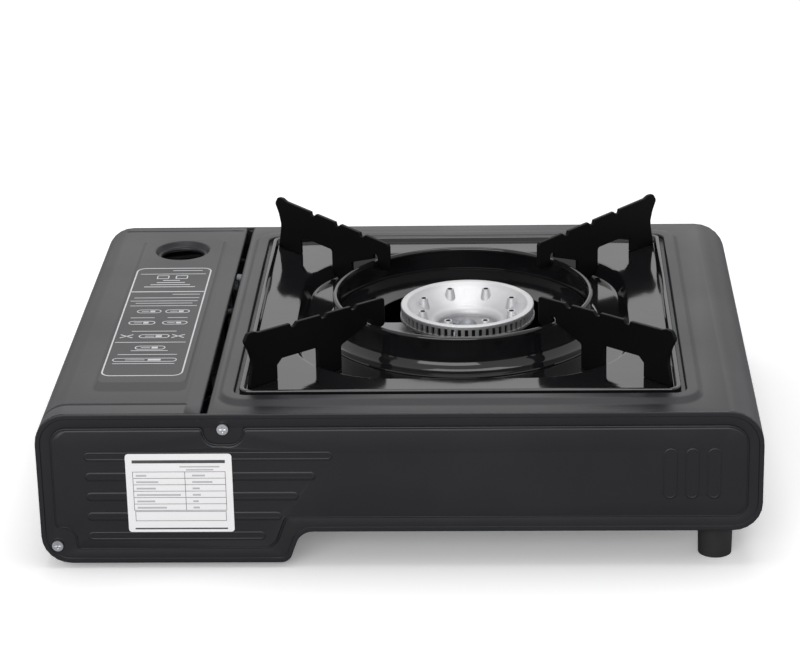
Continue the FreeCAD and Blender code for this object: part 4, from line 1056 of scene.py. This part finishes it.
def plate_rules():
    bm = bmesh.new()
    x, z = LABEL
    left, right = x - 22.2, x + 22.2
    upright_strip(bm, left, right, z + 15.6, z + 17.2)
    upright_strip(bm, left, right, z - 19.0, z - 18.2)
    rows = [z + 11.0 - 3.35 * i for i in range(7)]
    for row in rows:
        upright_strip(bm, left, right, row, row + RULE)
    for column in (left, x - 2.9, right - RULE):
        upright_strip(bm, column, column + RULE, rows[-1], rows[0])
    for low in (z - 14.6, rows[-1] - 0.6):
        upright_strip(bm, left + 0.4, right - 0.4, low, low + RULE)
    for side in (left + 0.4, right - 0.4 - RULE):
        upright_strip(bm, side, side + RULE, z - 14.6, rows[-1] - 0.6)
    return piece(bm, "label_rules", BODY_OF_CASE, DARK_INK)


def plate_dashes():
    """Pale dashes where such plates carry their figures."""
    bm = bmesh.new()
    x, z = LABEL
    widths = ((5.0, 6.2), (10.5, 9.6), (9.2, 3.4), (21.0, 3.8), (8.6, 2.6), (14.0, 3.0))
    for row, (first, second) in enumerate(widths):
        low = z + 8.7 - 3.35 * row
        upright_strip(bm, x + 20.6 - first, x + 20.6, low, low + 0.9)
        upright_strip(bm, x - 6.2 - second, x - 6.2, low, low + 0.9)
    upright_strip(bm, x - 19.5, x - 0.5, z + 13.4, z + 14.1)
    upright_strip(bm, x - 16.5, x - 3.5, z + 11.8, z + 12.5)
    return piece(bm, "label_dashes", BODY_OF_CASE, PALE_INK)


back_plate()
plate_rules()
plate_dashes()

# %% [markdown]
# ## Finishes for the CAD parts
# Every other part keeps its CAD shape and only takes a finish. One table says which part is made
# of what. The print names any part that still shows and has no finish.

# %% Finishes for the CAD parts
MADE_OF = {
    CASE_PAINT: ("base_pan", "divider", "lid_hinge_pins"),
    CAST: ("burner_body", "mixing_tube"),
    ZINC: ("regulator_cover", "socket_plate", "valve_spindle", "case_screws", "regulator_body"),
    # Parts inside the casing take the darker zinc copy, whose darker colour is painted shade.
    DULL_SHADED_ZINC: (
        "burner_clamp", "burner_bracket", "canister_cradle", "valve_bracket", "locating_tab",
        "piezo_clip", "injector_bracket", "electrode_wire", "electrode_bracket", "lock_lever",
        "lever_bracket", "lever_pivot", "canister_slider", "slider_guides", "gas_pipe",
    ),
    BRASS: ("valve_body", "injector"),
    PLASTIC: ("piezo_cam", "piezo_igniter", "piezo_plunger", "lever_tip"),
    RUBBER: ("long_feet", "rubber_pads", "socket_seal", "diaphragm", "ignition_lead"),
    CERAMIC: ("electrode_ceramic",),
}
dressed = set()
for finish, nodes in MADE_OF.items():
    for node in nodes:
        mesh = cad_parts[node].data
        mesh.materials.clear()
        mesh.materials.append(finish)
        dressed.add(node)
left_over = [name for name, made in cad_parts.items()
             if name not in dressed and not made.hide_render]
print("dressed", len(dressed), "left over", left_over)

# %% [markdown]
# ## Floor, light and finish
# A pale floor keeps the soft shadow. A lamp above and a wide one behind the camera give the light,
# a third far behind the stove shines along the deck, and an even white surround fills the rest.
# The surround is white to the camera, a little darker in mirrors, and dimmer as a light.

# %% Floor, light and finish
def floor_finish():
    constants = {"Roughness": 0.9, "Specular IOR Level": 0.0, "Emission Strength": 1.0}
    finish = Finish("floor_finish", constants)
    path = finish.tree.nodes.new("ShaderNodeLightPath")
    seen = Value(finish, path.outputs["Is Camera Ray"])
    finish.surface(
        Base_Color=finish.colour(seen, (0.36, 0.36, 0.37), (1.0, 1.0, 1.0)),
        Emission_Color=finish.colour(seen, (0.0, 0.0, 0.0), (0.16, 0.16, 0.16)),
    )
    return finish.material


def floor():
    bm = bmesh.new()
    bmesh.ops.create_grid(bm, x_segments=1, y_segments=1, size=6.0)
    mesh = bpy.data.meshes.new("floor")
    bm.to_mesh(mesh)
    bm.free()
    mesh.materials.append(floor_finish())
    made = bpy.data.objects.new("floor", mesh)
    bpy.context.scene.collection.objects.link(made)


SPREAD = 0.62
MIRRORED = 0.80


def surround():
    world = bpy.data.worlds.new("surround")
    bpy.context.scene.world = world
    world.use_nodes = True
    tree = world.node_tree
    tree.nodes.clear()
    output = tree.nodes.new("ShaderNodeOutputWorld")
    path = tree.nodes.new("ShaderNodeLightPath")
    even = tree.nodes.new("ShaderNodeBackground")
    even.inputs["Color"].default_value = (1, 1, 1, 1)
    strength = tree.nodes.new("ShaderNodeMath")
    strength.operation = "MULTIPLY_ADD"
    strength.inputs[1].default_value = MIRRORED - SPREAD
    strength.inputs[2].default_value = SPREAD
    tree.links.new(path.outputs["Is Glossy Ray"], strength.inputs[0])
    tree.links.new(strength.outputs[0], even.inputs["Strength"])
    white = tree.nodes.new("ShaderNodeBackground")
    white.inputs["Color"].default_value = (1, 1, 1, 1)
    white.inputs["Strength"].default_value = 1.0
    mix = tree.nodes.new("ShaderNodeMixShader")
    tree.links.new(path.outputs["Is Camera Ray"], mix.inputs[0])
    tree.links.new(even.outputs[0], mix.inputs[1])
    tree.links.new(white.outputs[0], mix.inputs[2])
    tree.links.new(mix.outputs[0], output.inputs[0])


def lamp(name, place, target, size, power):
    data = bpy.data.lights.new(name, "AREA")
    data.shape = "RECTANGLE"
    data.size = size[0]
    data.size_y = size[1]
    data.energy = power
    made = bpy.data.objects.new(name, data)
    made.location = place
    made.rotation_euler = (Vector(target) - Vector(place)).to_track_quat("-Z", "Y").to_euler()
    bpy.context.scene.collection.objects.link(made)


floor()
surround()
lamp("overhead", (-0.1, 0.0, 1.7), (0, 0, 0.05), (1.0, 1.0), 8)
lamp("behind_camera", (0.5, 2.4, 1.0), (0, 0, 0.05), (2.4, 1.3), 30)
lamp("far_card", (0.1, -3.0, 1.8), (0, 0, 0.1), (2.0, 2.8), 7.5)
